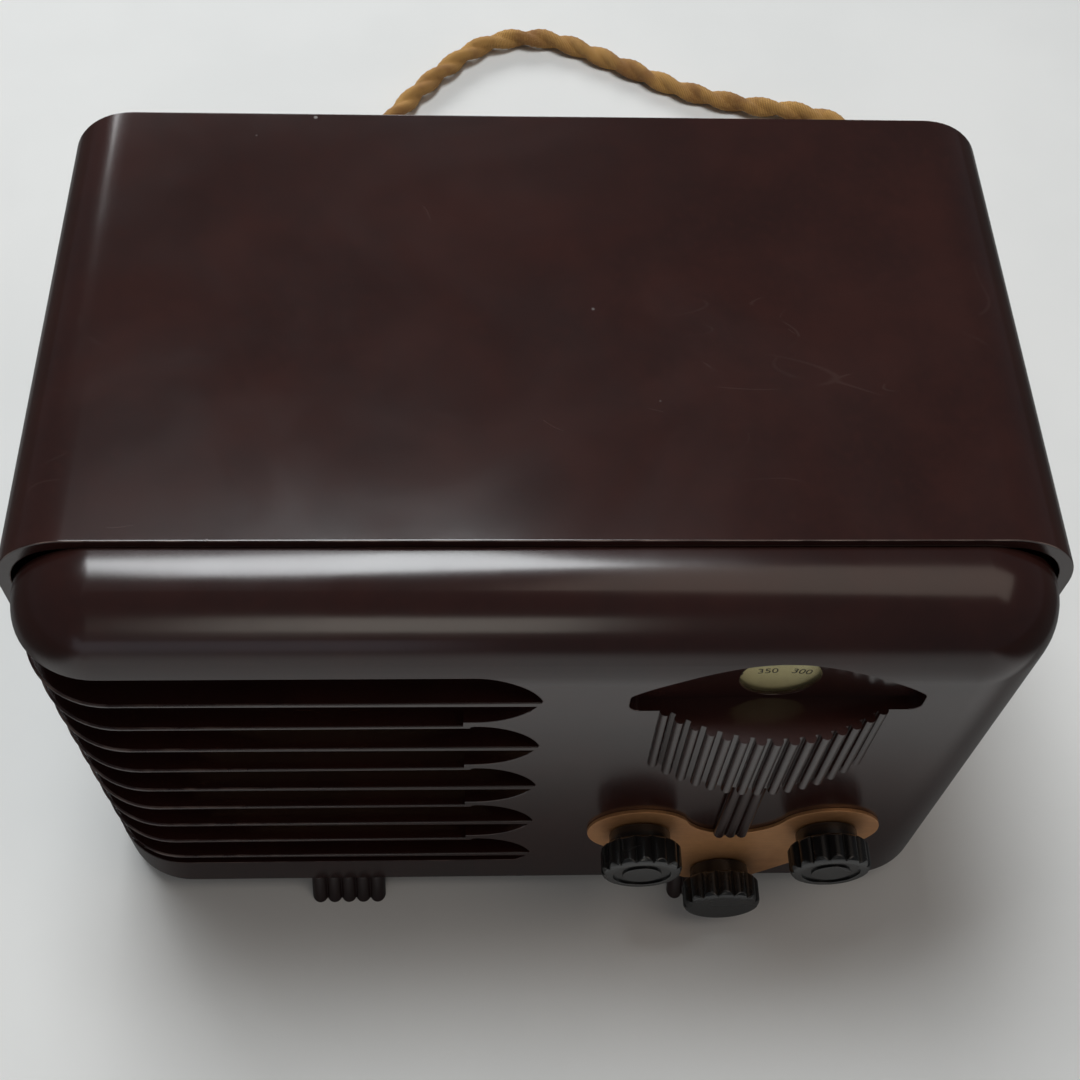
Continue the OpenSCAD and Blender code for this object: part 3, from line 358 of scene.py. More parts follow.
world = bpy.data.worlds.new("room")
bpy.context.scene.world = world
world.use_nodes = True
tree = world.node_tree
rays = put(tree, "LightPath")
dim = put(tree, "Background", {"Color": (0.9, 0.93, 1.0, 1), "Strength": ROOM_LIGHT}).outputs[0]
pale = put(tree, "Background", {"Color": ROOM_COLOUR, "Strength": 0.8}).outputs[0]
sky = put(tree, "MixShader", {0: rays.outputs["Is Camera Ray"], 1: dim, 2: pale})
tree.links.new(sky.outputs[0], tree.nodes["World Output"].inputs["Surface"])


def soft_lamp(name, target, toward, distance, size, radiance, colour):
    """A soft box that looks at target from a direction, as bright as radiance all over its face."""
    lamp = bpy.data.lights.new(name, "AREA")
    lamp.shape = "RECTANGLE"
    lamp.size = size[0]
    lamp.size_y = size[1]
    lamp.energy = radiance * math.pi * size[0] * size[1]
    lamp.color = colour
    holder = bpy.data.objects.new(name, lamp)
    bpy.context.scene.collection.objects.link(holder)
    away = Vector(toward).normalized()
    holder.location = Vector(target) + away * distance
    holder.rotation_mode = "QUATERNION"
    holder.rotation_quaternion = away.to_track_quat("Z", "Y")


soft_lamp("lamp_over", target=(0, -0.05, 0.14), toward=(-0.135, 0.27, 0.95), distance=1.2,
          size=(0.53, 0.42), radiance=13.5, colour=(0.94, 0.98, 1.0))
soft_lamp("lamp_far", target=(0, 0.05, 0), toward=(-0.25, 0.85, 0.42), distance=2.2,
          size=(1.5, 0.6), radiance=10.0, colour=(0.97, 0.99, 1.0))
soft_lamp("lamp_front", target=(0, -0.06, 0.12), toward=(-0.075, -0.82, 0.55), distance=1.4,
          size=(0.46, 0.44), radiance=1.9, colour=(1.0, 0.95, 0.85))
soft_lamp("lamp_right", target=(0, -0.05, 0.12), toward=(0.42, -0.10, 0.90), distance=1.4,
          size=(0.75, 1.10), radiance=1.0, colour=(1.0, 0.86, 0.74))
soft_lamp("lamp_low", target=(0, -0.06, 0.12), toward=(-0.30, -0.94, 0.14), distance=2.0,
          size=(1.1, 0.5), radiance=0.5, colour=(0.84, 0.88, 1.0))

bpy.context.scene.view_settings.view_transform = "Standard"

# Front panel
# The front of the cabinet, pressed from dark brown resin with its nine louver fins, the eye-shaped recess
# and the reeded drum in one piece. Its face is polished, and its edges are a little rubbed, their light
# colour partly a painted highlight.
EDGE_SHARP = math.radians(28)
SAME_WAY = math.cos(math.radians(38))
SAME_SPOT = 0.002 * MM
FLAT_TURN = math.radians(0.5)


def round_off(bm, radius, steps, chosen):
    """Rounds off the sharp outer edges that are chosen. Attribute band_middle is 1 along the middle of the
    new bands, whose vertices it gives. It marks where the edge colour goes, which paints rubbed wear and
    partly a painted highlight."""
    band_middle = bm.verts.layers.float["band_middle"]
    band = bm.faces.layers.int["band"]
    sharp = [e for e in bm.edges if e.is_convex and e.calc_face_angle(0) > EDGE_SHARP and chosen(e)]
    made = bmesh.ops.bevel(bm, geom=sharp, offset=radius, segments=steps, profile=0.5, affect="EDGES")
    bands = set(made["faces"])
    for face in bands:
        face[band] = 1
    found = {vert for face in bands for vert in face.verts}
    for vert in found:
        if bands.issuperset(vert.link_faces):
            vert[band_middle] = 1.0
    return found


def rounded_copy(node, radius, nose_r=0, is_nose=None, stays_sharp=lambda edge: False):
    """A copy of a CAD node with its sharp edges rounded off, those of its noses by a larger radius."""
    bm = bmesh.new()
    bm.from_mesh(frame["nodes"][node].data)
    bmesh.ops.remove_doubles(bm, verts=bm.verts, dist=SAME_SPOT)
    bmesh.ops.dissolve_limit(bm, angle_limit=FLAT_TURN, verts=bm.verts, edges=bm.edges)
    bm.verts.layers.float.new("band_middle")
    bm.faces.layers.int.new("band")
    done = round_off(bm, nose_r, 4, is_nose) if is_nose else set()
    round_off(bm, radius, 2, lambda edge: done.isdisjoint(edge.verts) and not stays_sharp(edge))
    bmesh.ops.triangulate(bm, faces=[f for f in bm.faces if len(f.verts) > 4])
    return bm


def corner_normals(bm):
    """Normals for the corners of all faces. Beside a rounded band, a face keeps its own direction."""
    band = bm.faces.layers.int["band"]
    normals = []
    for face in bm.faces:
        for vert in face.verts:
            like = [f for f in vert.link_faces if f.normal.dot(face.normal) > SAME_WAY]
            like = [f for f in like if not f[band]] or like
            normals.append(sum((f.normal * f.calc_area() for f in like), Vector()).normalized())
    return normals


def rounded_piece(node, radius, material, body="cabinet", **choices):
    """The CAD node remade with rounded edges and evenly shaded flats, in its place."""
    bm = rounded_copy(node, radius, **choices)
    normals = corner_normals(bm)
    piece = new_piece(node + "_finished", bm, material)
    piece.data.normals_split_custom_set(normals)
    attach(piece, body)
    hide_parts(node)
    return piece


def new_group(name, inputs, outputs):
    """An empty shader node group with float or vector inputs and float outputs, and both its ends."""
    group = bpy.data.node_groups.new(name, "ShaderNodeTree")
    for label, value in inputs.items():
        kind = "NodeSocketVector" if value is None else "NodeSocketFloat"
        socket = group.interface.new_socket(label, in_out="INPUT", socket_type=kind)
        if value is not None:
            socket.default_value = value
    for label in outputs:
        group.interface.new_socket(label, in_out="OUTPUT", socket_type="NodeSocketFloat")
    source = group.nodes.new("NodeGroupInput")
    sink = group.nodes.new("NodeGroupOutput")
    return group, source.outputs, sink


def use_group(tree, group, **inputs):
    """The group placed in a material's tree. Gives its outputs."""
    return put(tree, "Group", inputs, node_tree=group).outputs


def stretched(tree, place, scale, turn=(0, 0, 0)):
    """A place drawn out or squeezed along its axes, for a pattern with a direction."""
    return put(tree, "Mapping", {"Vector": place, "Scale": scale, "Rotation": turn}).outputs[0]


marks, source, sink = new_group("handling_marks", {"Place": None, "Scratches": 1.0, "Specks": 1.0},
                                ["Scratch", "Speck"])
scratch_sum = None
for turn, scale in ((0.4, 13.0), (1.9, 17.0), (1.1, 9.0)):
    turned = stretched(marks, source["Place"], (1.0, 3.2, 1.6), (0.3, 0.2, turn))
    lines = noise(marks, turned, scale, 1.0, Distortion=0.2)
    ridge = calculate(marks, "ABSOLUTE", calculate(marks, "SUBTRACT", lines, 0.5))
    fine = spread(marks, ridge, 0.0, 0.0035, 1.0, 0.0)
    broken = noise(marks, turned, scale * 4, 2.0)
    fine = times(marks, fine, spread(marks, broken, 0.5, 0.6))
    scratch_sum = fine if scratch_sum is None else calculate(marks, "MAXIMUM", scratch_sum, fine)
patch = noise(marks, source["Place"], 16.0)
scratch_sum = times(marks, scratch_sum, spread(marks, patch, 0.48, 0.7))
marks.links.new(times(marks, scratch_sum, source["Scratches"]), sink.inputs["Scratch"])
dots = put(marks, "TexVoronoi", {"Vector": source["Place"], "Scale": 75.0, "Randomness": 1.0})
near = spread(marks, dots.outputs["Distance"], 0.015, 0.05, 1.0, 0.0)
some = put(marks, "SeparateColor", {"Color": dots.outputs["Color"]}).outputs["Red"]
near = times(marks, near, spread(marks, some, 0.80, 0.84))
marks.links.new(times(marks, near, source["Specks"]), sink.inputs["Speck"])

wear_and_highlight, source, sink = new_group("edge_wear_and_highlight", {"Place": None, "Amount": 1.0}, ["Worn"])
band = put(wear_and_highlight, "Attribute", attribute_name="band_middle").outputs["Fac"]
rub = noise(wear_and_highlight, source["Place"], 120.0, 5.0)
broken = times(wear_and_highlight, spread(wear_and_highlight, rub, 0.40, 0.66), spread(wear_and_highlight, band, 0.4, 1.0))
wear_and_highlight.links.new(times(wear_and_highlight, broken, source["Amount"]), sink.inputs["Worn"])


def moulded_resin(name, deep, warm, wear_and_highlight_colour, roughness, haze, wear_and_highlight_amount, scratches=1.0):
    """Pressed resin: faintly mottled colour, soft polish, hairline scratches, specks and rubbed edges,
    whose light colour is partly a painted highlight.
    """
    material, tree, shader = new_finish(name, roughness=roughness, ior=1.53)
    place = own_place(tree)
    cloud = noise(tree, place, 34.0, 6.0, Roughness=0.62)
    grain = noise(tree, place, 420.0, 4.0)
    handling = use_group(tree, marks, Place=place, Scratches=scratches)
    edges = use_group(tree, wear_and_highlight, Place=place, Amount=wear_and_highlight_amount)["Worn"]
    colour = tinted(tree, cloud, 0.30, 0.75, deep, warm)
    colour = tinted(tree, grain, 0.45, 0.9, colour, warm, 0.6)
    colour = mixed(tree, times(tree, handling["Scratch"], 0.15), colour, wear_and_highlight_colour)
    colour = mixed(tree, times(tree, handling["Speck"], 0.55), colour, (0.20, 0.18, 0.17))
    # Rubbed edges, lightened partly as a painted highlight along the rounded edges.
    colour = mixed(tree, edges, colour, wear_and_highlight_colour)
    feed(tree, colour, shader, "Base Color")
    film = noise(tree, place, 18.0, 5.0, Distortion=0.8)
    rough = spread(tree, film, 0.3, 0.75, roughness - haze, roughness + haze)
    rough = calculate(tree, "ADD", rough, times(tree, handling["Scratch"], 0.06))
    rough = calculate(tree, "ADD", rough, times(tree, handling["Speck"], 0.3))
    feed(tree, rough, shader, "Roughness")
    ripple = calculate(tree, "ADD", noise(tree, place, 45.0), times(tree, grain, 0.06))
    height = calculate(tree, "SUBTRACT", ripple, times(tree, handling["Scratch"], 0.2))
    bumped(tree, height, shader, 0.04 * MM)
    return material


# The light edge colour is partly a painted highlight on the fins' noses and other rounded edges.
panel_resin = moulded_resin("panel_resin", (0.0185, 0.0062, 0.0052), (0.0290, 0.0086, 0.0066),
                            (0.12, 0.080, 0.068), roughness=0.185, haze=0.03, wear_and_highlight_amount=0.9,
                            scratches=0.4)
FIN_LOW = 27.8 * MM
FIN_PITCH = 11.79 * MM
FIN_DROP = 1.7 * MM
FIN_T = 1.4 * MM
FIN_COUNT = 9
FINS_END = 5 * MM
FIN_SLACK = 0.02 * MM
LEVEL_SLACK = 0.01 * MM
POINT_X = -17 * MM
POINT_REACH = 1.6 * MM
DRUM_TOP = 117.2 * MM
DRUM_BACK = -66.4 * MM
INSIDE = ((5 * MM, 108 * MM), (-62.6 * MM, 0), (0, 147 * MM))


def is_fin_edge(edge):
    """Whether an edge is an outer long edge of a louver fin."""
    a, b = (v.co for v in edge.verts)
    fin = (a.z + FIN_DROP - FIN_LOW) / FIN_PITCH
    from_face = abs(abs(fin - round(fin)) * FIN_PITCH - FIN_T / 2)
    return (abs(a.z - b.z) < LEVEL_SLACK and from_face < FIN_SLACK
            and 0 <= round(fin) < FIN_COUNT and max(a.x, b.x) < FINS_END)


def is_left_sharp(edge):
    """Whether an edge is a short one where a fin meets a point of the face, on the drum's top or inside."""
    a, b = (v.co for v in edge.verts)
    by_point = max(abs(a.x - POINT_X), abs(b.x - POINT_X)) < POINT_REACH
    on_drum = max(a.y, b.y) < DRUM_BACK and max(abs(a.z - DRUM_TOP), abs(b.z - DRUM_TOP)) < LEVEL_SLACK
    inside = all(low < v[i] < high for v in (a, b) for i, (low, high) in enumerate(INSIDE))
    return by_point or on_drum or inside


rounded_piece("front_panel", 0.35 * MM, panel_resin, nose_r=0.62 * MM, is_nose=is_fin_edge,
              stays_sharp=is_left_sharp)

# Rear shell
# The rest of the cabinet, a deep box of the same resin open at the back. It stands a little proud of the
# front panel. Its top has lost some polish, and its rim and rear edge are rubbed, their light colour partly
# a painted highlight.
# The light edge colour is partly a painted highlight along the rim.
shell_resin = moulded_resin("shell_resin", (0.0190, 0.0064, 0.0052), (0.0300, 0.0090, 0.0068),
                            (0.19, 0.135, 0.115), roughness=0.17, haze=0.03, wear_and_highlight_amount=1.0, scratches=0.4)
rounded_piece("rear_shell", 0.45 * MM, shell_resin)

# Feet
# Two reeded feet before and two round ones behind, pressed from the cabinet's resin and glued under its
# floor. Their edges are rubbed more than the cabinet's, and their darker colour is painted shade under the
# cabinet.
# Darker than the cabinet's resin: painted shade under the cabinet.
foot_resin = moulded_resin("foot_resin", (0.0130, 0.0050, 0.0044), (0.0230, 0.0080, 0.0065),
                           (0.060, 0.038, 0.030), roughness=0.36, haze=0.05, wear_and_highlight_amount=0.9)
for node in ("foot_front_left", "foot_front_right", "foot_rear_left", "foot_rear_right"):
    rounded_piece(node, 0.25 * MM, foot_resin)

# Grille cloth
# A round of coarse brown and gold cloth, pulled flat over the loudspeaker's opening behind the louvers
# and clamped under the loudspeaker's rim.
CLOTH_R = 44 * MM
CLOTH_RINGS = 40
CLOTH_SPOKES = 96
CLOTH_RELIEF = 0.06 * MM
THREAD_PITCH = 1.3 * MM

grille_cotton, tree, shader = new_finish("grille_cotton", roughness=0.9, sheen_weight=0.2,
                                         sheen_roughness=0.5)
place = own_place(tree)
split = axes_of(tree, place)
waves = [calculate(tree, "SINE", times(tree, split[axis], math.pi / THREAD_PITCH)) for axis in ("X", "Z")]
check = times(tree, waves[0], waves[1])
crown = calculate(tree, "ABSOLUTE", check)
over_under = spread(tree, check, -0.1, 0.1)
fuzz = noise(tree, place, 900.0, 4.0)
colour = mixed(tree, over_under, (0.17, 0.10, 0.045), (0.42, 0.30, 0.13))
colour = tinted(tree, fuzz, 0.4, 0.8, colour, (0.10, 0.06, 0.03), 0.5)
# Nearly black between the threads: painted shade in the weave's gaps.
colour = mixed(tree, spread(tree, crown, 0.0, 0.35, 0.75, 0.0), colour, (0.02, 0.013, 0.008))
feed(tree, colour, shader, "Base Color")
bumped(tree, calculate(tree, "ADD", crown, times(tree, fuzz, 0.3)), shader, 0.25 * MM)


def close_skins(bm, skins):
    """The faces of a round sheet's two skins, each given as rings of points round one, and of its rim."""
    for rings, way in zip(skins, (1, -1)):
        for inner, outer in zip(rings, rings[1:]):
            for k, point in enumerate(outer):
                n = (k + 1) % len(outer)
                corners = [inner[0], point, outer[n]]
                if len(inner) > 1:
                    corners = [inner[k], point, outer[n], inner[n]]
                bm.faces.new(corners[::way])
    first, last = (rings[-1] for rings in skins)
    for k, point in enumerate(first):
        n = (k + 1) % len(first)
        bm.faces.new((first[n], point, last[k], last[n]))


cloth_low, cloth_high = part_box("grille_cloth")
cloth_middle = (cloth_low + cloth_high) / 2
bm = bmesh.new()
skins = []
for y in (cloth_low.y + CLOTH_RELIEF, cloth_high.y - CLOTH_RELIEF):
    rings = [[bm.verts.new((cloth_middle.x, y, cloth_middle.z))]]
    for ring in range(1, CLOTH_RINGS + 1):
        r = CLOTH_R * ring / CLOTH_RINGS
        circle = []
        for spoke in range(CLOTH_SPOKES):
            a = 2 * math.pi * spoke / CLOTH_SPOKES
            x, z = cloth_middle.x + r * math.cos(a), cloth_middle.z + r * math.sin(a)
            weave = math.sin(math.pi * x / (2 * THREAD_PITCH)) * math.sin(math.pi * z / (2 * THREAD_PITCH))
            circle.append(bm.verts.new((x, y + CLOTH_RELIEF * weave, z)))
        rings.append(circle)
    skins.append(rings)
close_skins(bm, skins)
grille_cloth = new_piece("grille_cloth_woven", bm, grille_cotton)
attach(grille_cloth, "cabinet")
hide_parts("grille_cloth")

# Loudspeaker
# A pressed and painted steel basket with a black paper cone, a rough cast magnet pot behind it, and
# four plated screws into the front panel's pad.


def dress(material, *nodes):
    """Finishes CAD nodes whose shape stays as it is."""
    for node in nodes:
        for place in frame["nodes"][node].material_slots:
            place.material = material


def coated(name, colours, roughness, scale, depth, metallic=0.0):
    """A plain finish of two colours in fine blots, with a grain as deep as depth."""
    material, tree, shader = new_finish(name, roughness=roughness, metallic=metallic)
    place = own_place(tree)
    blots = noise(tree, place, scale, 5.0, Roughness=0.6)
    grain = noise(tree, place, scale * 9, 4.0)
    feed(tree, tinted(tree, blots, 0.32, 0.68, *colours), shader, "Base Color")
    rough = spread(tree, blots, 0.3, 0.7, roughness - 0.08, roughness + 0.08)
    feed(tree, rough, shader, "Roughness")
    bumped(tree, grain, shader, depth)
    return material


def worked_metal(name, bright, dull, roughness, stretch, tarnish):
    """Metal with fine tool lines, stretched along the axes as given, and blots dulled by tarnish."""
    material, tree, shader = new_finish(name, metallic=1.0, roughness=roughness)
    place = own_place(tree)
    lines = noise(tree, stretched(tree, place, stretch), 260.0)
    blots = noise(tree, place, 70.0, 6.0, Roughness=0.65)
    dulled = spread(tree, blots, 0.62 - 0.3 * tarnish, 0.9 - 0.3 * tarnish)
    colour = mixed(tree, dulled, bright, dull)
    colour = tinted(tree, lines, 0.3, 0.8, colour, dull, 0.25)
    feed(tree, colour, shader, "Base Color")
    rough = calculate(tree, "ADD", spread(tree, dulled, 0.0, 1.0, roughness - 0.06, roughness + 0.16),
                      times(tree, lines, 0.08))
    feed(tree, rough, shader, "Roughness")
    bumped(tree, lines, shader, 0.02 * MM)
    return material


TURNED = (1.0, 12.0, 1.0)
ROLLED = (0.6, 9.0, 9.0)
UPRIGHT = (9.0, 9.0, 0.6)

basket_paint = coated("basket_paint", ((0.115, 0.115, 0.108), (0.17, 0.17, 0.16)), roughness=0.42,
                      scale=90.0, depth=0.04 * MM)
cone_paper = coated("cone_paper", ((0.014, 0.013, 0.012), (0.032, 0.029, 0.026)), roughness=0.88,
                    scale=160.0, depth=0.12 * MM)
magnet_iron = coated("magnet_iron", ((0.10, 0.10, 0.10), (0.22, 0.21, 0.20)), roughness=0.55,
                     scale=210.0, depth=0.18 * MM, metallic=0.6)
screw_steel = worked_metal("screw_steel", (0.58, 0.57, 0.54), (0.28, 0.26, 0.22), roughness=0.34,
                           stretch=TURNED, tarnish=0.7)
dress(basket_paint, "speaker_basket")
dress(cone_paper, "speaker_cone")
dress(magnet_iron, "speaker_magnet")
dress(screw_steel, "speaker_screws", "front_screws", "chassis_bolts")

# Dial window
# A slip of clear sheet, gone a little yellow, cemented into its seat behind the round opening.
celluloid, tree, shader = new_finish("celluloid", roughness=0.12, ior=1.5, alpha=0.06)
place = own_place(tree)
haze = spread(tree, noise(tree, place, 160.0, 4.0), 0.3, 0.8)
feed(tree, mixed(tree, haze, (0.80, 0.70, 0.42), (0.55, 0.42, 0.20)), shader, "Base Color")
feed(tree, spread(tree, haze, 0.0, 1.0, 0.08, 0.22), shader, "Roughness")
bumped(tree, noise(tree, place, 60.0), shader, 0.02 * MM)
dress(celluloid, "dial_window")

# Chassis
# One tray of plated sheet steel, bent down on all sides and punched for the tubes and controls. The
# plating has gone dull in blots.
chassis_plate = worked_metal("chassis_plate", (0.60, 0.60, 0.56), (0.36, 0.33, 0.27), roughness=0.42,
                             stretch=ROLLED, tarnish=0.8)
dress(chassis_plate, "chassis")

# Tuning capacitor
# A frame of plated steel on two feet with a comb of fixed aluminium vanes. The rotor's half-round vanes
# turn between them on the same shaft as the dial.
frame_plate = worked_metal("frame_plate", (0.66, 0.65, 0.60), (0.42, 0.38, 0.30), roughness=0.36,
                           stretch=UPRIGHT, tarnish=0.5)
vane_aluminium = worked_metal("vane_aluminium", (0.76, 0.76, 0.75), (0.55, 0.55, 0.54), roughness=0.30,
                              stretch=UPRIGHT, tarnish=0.3)
dress(frame_plate, "gang_frame")
dress(vane_aluminium, "gang_stator", "gang_rotor")

# Dial
# A disc of cream card printed with plain numbers and strokes, on a turned brass hub with two rims
# between which the drive string runs.
NUMBERS = [str(n) for n in range(600, 0, -50)]
NUMBER_STEP = math.radians(14.0)
NUMBER_FIRST = math.radians(-4.4) - 5 * NUMBER_STEP
NUMBER_RING = 30.8 * MM
NUMBER_SIZE = 3.1 * MM
PRINT_T = 0.04 * MM
STROKE_RING = 34.6 * MM
STROKE_LONG = 2.2 * MM
STROKE_HALF = 0.15 * MM

dial_card, tree, shader = new_finish("dial_card", roughness=0.6)
place = own_place(tree)
age = noise(tree, place, 60.0, 5.0)
fibres = noise(tree, stretched(tree, place, (1.0, 1.0, 5.0)), 700.0)
colour = tinted(tree, age, 0.3, 0.75, (0.84, 0.78, 0.44), (0.74, 0.64, 0.32))
colour = tinted(tree, fibres, 0.5, 0.85, colour, (0.40, 0.33, 0.15), 0.4)
feed(tree, colour, shader, "Base Color")
bumped(tree, fibres, shader, 0.03 * MM)
dial_brass = worked_metal("dial_brass", (0.62, 0.50, 0.26), (0.34, 0.25, 0.12), roughness=0.32,
                          stretch=TURNED, tarnish=0.6)
dress(dial_card, "dial_disc")
dress(dial_brass, "dial_hub")

print_ink = coated("print_ink", ((0.010, 0.010, 0.012), (0.022, 0.021, 0.020)), roughness=0.7,
                   scale=900.0, depth=0.01 * MM)


def geometry_tree(name, **inputs):
    """An empty Geometry Nodes tree and its two ends. Its inputs are given as (socket kind, value)."""
    tree = bpy.data.node_groups.new(name, "GeometryNodeTree")
    tree.interface.new_socket("Geometry", in_out="INPUT", socket_type="NodeSocketGeometry")
    for label, (kind, value) in inputs.items():
        socket = tree.interface.new_socket(label, in_out="INPUT", socket_type="NodeSocket" + kind)
        if value is not None:
            socket.default_value = value
    tree.interface.new_socket("Geometry", in_out="OUTPUT", socket_type="NodeSocketGeometry")
    return tree, tree.nodes.new("NodeGroupInput").outputs, tree.nodes.new("NodeGroupOutput").inputs


def lay(tree, kind, **inputs):
    """A new geometry node with its inputs filled, their names written with _ for a space."""
    node = tree.nodes.new("GeometryNode" + kind)
    fill(tree, node, {key.replace("_", " "): value for key, value in inputs.items()})
    return node.outputs


def grown(name, mesh, tree, body, slot, **values):
    """A plain piece grown by a tree from a starting mesh, riding on a body."""
    piece = bpy.data.objects.new(name, mesh)
    bpy.context.scene.collection.objects.link(piece)
    modifier = piece.modifiers.new("grow", "NODES")
    modifier.node_group = tree
    for item in tree.interface.items_tree:
        if item.in_out == "INPUT" and item.name in values:
            modifier[item.identifier] = values[item.name]
    result = piece.evaluated_get(bpy.context.evaluated_depsgraph_get())
    plain = bpy.data.meshes.new_from_object(result)
    piece.modifiers.clear()
    piece.data = plain
    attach(piece, body)
    return piece


round_row, source, sink = geometry_tree("round_row", Count=("Int", 8), Turn=("Vector", None),
                                        Start=("Vector", None), Middle=("Vector", None),
                                        Material=("Material", None))
spots = lay(round_row, "MeshLine", Count=source["Count"], Offset=(0, 0, 0))["Mesh"]
which = lay(round_row, "InputIndex")[0]
turned = put(round_row, "VectorMath", {0: source["Turn"], 1: which, 2: source["Start"]},
             operation="MULTIPLY_ADD")
copies = lay(round_row, "InstanceOnPoints", Points=spots, Instance=source["Geometry"],
             Rotation=turned.outputs[0])["Instances"]
copies = lay(round_row, "TranslateInstances", Instances=copies,
             Translation=source["Middle"], Local_Space=False)["Instances"]
solid = lay(round_row, "RealizeInstances", Geometry=copies)["Geometry"]
solid = lay(round_row, "SetMaterial", Geometry=solid, Material=source["Material"])["Geometry"]
round_row.links.new(solid, sink["Geometry"])


def block(low, high):
    """The mesh of a plain block, to be repeated."""
    bm = bmesh.new()
    bmesh.ops.create_cube(bm, size=1)
    for vert in bm.verts:
        vert.co = Vector(low[i] if vert.co[i] < 0 else high[i] for i in range(3))
    mesh = bpy.data.meshes.new("block")
    bm.to_mesh(mesh)
    bm.free()
    return mesh


disc_low, disc_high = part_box("dial_disc")
disc_axis = Vector(((disc_low.x + disc_high.x) / 2, disc_low.y, (disc_low.z + disc_high.z) / 2))
stroke = block((-STROKE_HALF, -PRINT_T, STROKE_RING), (STROKE_HALF, PRINT_T, STROKE_RING + STROKE_LONG))
grown("dial_strokes", stroke, round_row, "gang", "dial_card", Count=4 * len(NUMBERS) - 3,
      Turn=(0.0, NUMBER_STEP / 4, 0.0), Start=(0.0, NUMBER_FIRST, 0.0), Middle=disc_axis[:],
      Material=print_ink)

bm = bmesh.new()
for k, number in enumerate(NUMBERS):
    curve = bpy.data.curves.new("number", "FONT")
    curve.body = number
    curve.size = NUMBER_SIZE
    curve.align_x = "CENTER"
    curve.align_y = "CENTER"
    curve.extrude = PRINT_T
    holder = bpy.data.objects.new("number", curve)
    bpy.context.scene.collection.objects.link(holder)
    flat = bpy.data.meshes.new_from_object(holder.evaluated_get(bpy.context.evaluated_depsgraph_get()))
    bpy.data.objects.remove(holder)
    flat.transform(Matrix.Translation(disc_axis) @ Matrix.Rotation(NUMBER_FIRST + k * NUMBER_STEP, 4, "Y")
                   @ Matrix.Translation((0, 0, NUMBER_RING)) @ Matrix.Rotation(math.pi / 2, 4, "X"))
    bm.from_mesh(flat)
dial_numbers = new_piece("dial_numbers", bm, print_ink)
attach(dial_numbers, "gang")

# Drive string
# A waxed string, twisted from three strands. It runs round the dial's hub and the tuning shaft in one
# closed loop, so that the knob turns the dial.
STRING_R = 0.45 * MM
STRING_PLY_R = 0.26 * MM
STRING_LAY = 2.4 * MM
STRING_CLEAR = 0.35 * MM
STRING_STEPS = 900
HUB_FLANGE = 2.5 * MM

string_wax, tree, shader = new_finish("string_wax", roughness=0.55, sheen_weight=0.1)
wax = noise(tree, own_place(tree), 500.0, 4.0)
feed(tree, tinted(tree, wax, 0.3, 0.7, (0.52, 0.44, 0.28), (0.30, 0.23, 0.13)), shader, "Base Color")
bumped(tree, wax, shader, 0.05 * MM)

path_tube, source, sink = geometry_tree("path_tube", Radius=("Float", 0.001), Sides=("Int", 8),
                                        Material=("Material", None))
curve = lay(path_tube, "MeshToCurve", Mesh=source["Geometry"])["Curve"]
outline = lay(path_tube, "CurvePrimitiveCircle", Resolution=source["Sides"],
              Radius=source["Radius"])["Curve"]
tube = lay(path_tube, "CurveToMesh", Curve=curve, Profile_Curve=outline, Fill_Caps=True)["Mesh"]
tube = lay(path_tube, "SetShadeSmooth", Geometry=tube)["Geometry"]
tube = lay(path_tube, "RealizeInstances", Geometry=tube)["Geometry"]
tube = lay(path_tube, "SetMaterial", Geometry=tube, Material=source["Material"])["Geometry"]
path_tube.links.new(tube, sink["Geometry"])


def thin_loops(name, lines):
    """A mesh of bare closed lines through points, for a tube to follow."""
    points, edges = [], []
    for line in lines:
        first = len(points)
        points += [tuple(p) for p in line]
        edges += [(first + k, first + k + 1) for k in range(len(line) - 1)]
        edges.append((len(points) - 1, first))
    mesh = bpy.data.meshes.new(name)
    mesh.from_pydata(points, edges, [])
    return mesh


def belt_line(big, small, count):
    """Evenly spaced points of a loop drawn tight round two circles, each given as x, z and radius."""
    apart = math.hypot(small[0] - big[0], small[1] - big[1])
    course = math.atan2(small[1] - big[1], small[0] - big[0])
    lean = math.acos((big[2] - small[2]) / apart)
    on, off = course + lean, course - lean
    straight = apart * math.sin(lean)
    # Each stretch has a length, and a circle and an angle on it at its start and at its end.
    stretches = [(big[2] * 2 * (math.pi - lean), (*big, on), (*big, off + 2 * math.pi)),
                 (straight, (*big, off), (*small, off)),
                 (small[2] * 2 * lean, (*small, off), (*small, on)),
                 (straight, (*small, on), (*big, on))]
    total = sum(length for length, start, end in stretches)
    line = []
    for k in range(count):
        left = total * k / count
        for length, start, end in stretches:
            if left < length:
                break
            left -= length
        x, z, r, a = (p + (q - p) * left / length for p, q in zip(start, end))
        line.append((x + r * math.cos(a), z + r * math.sin(a)))
    return line, total


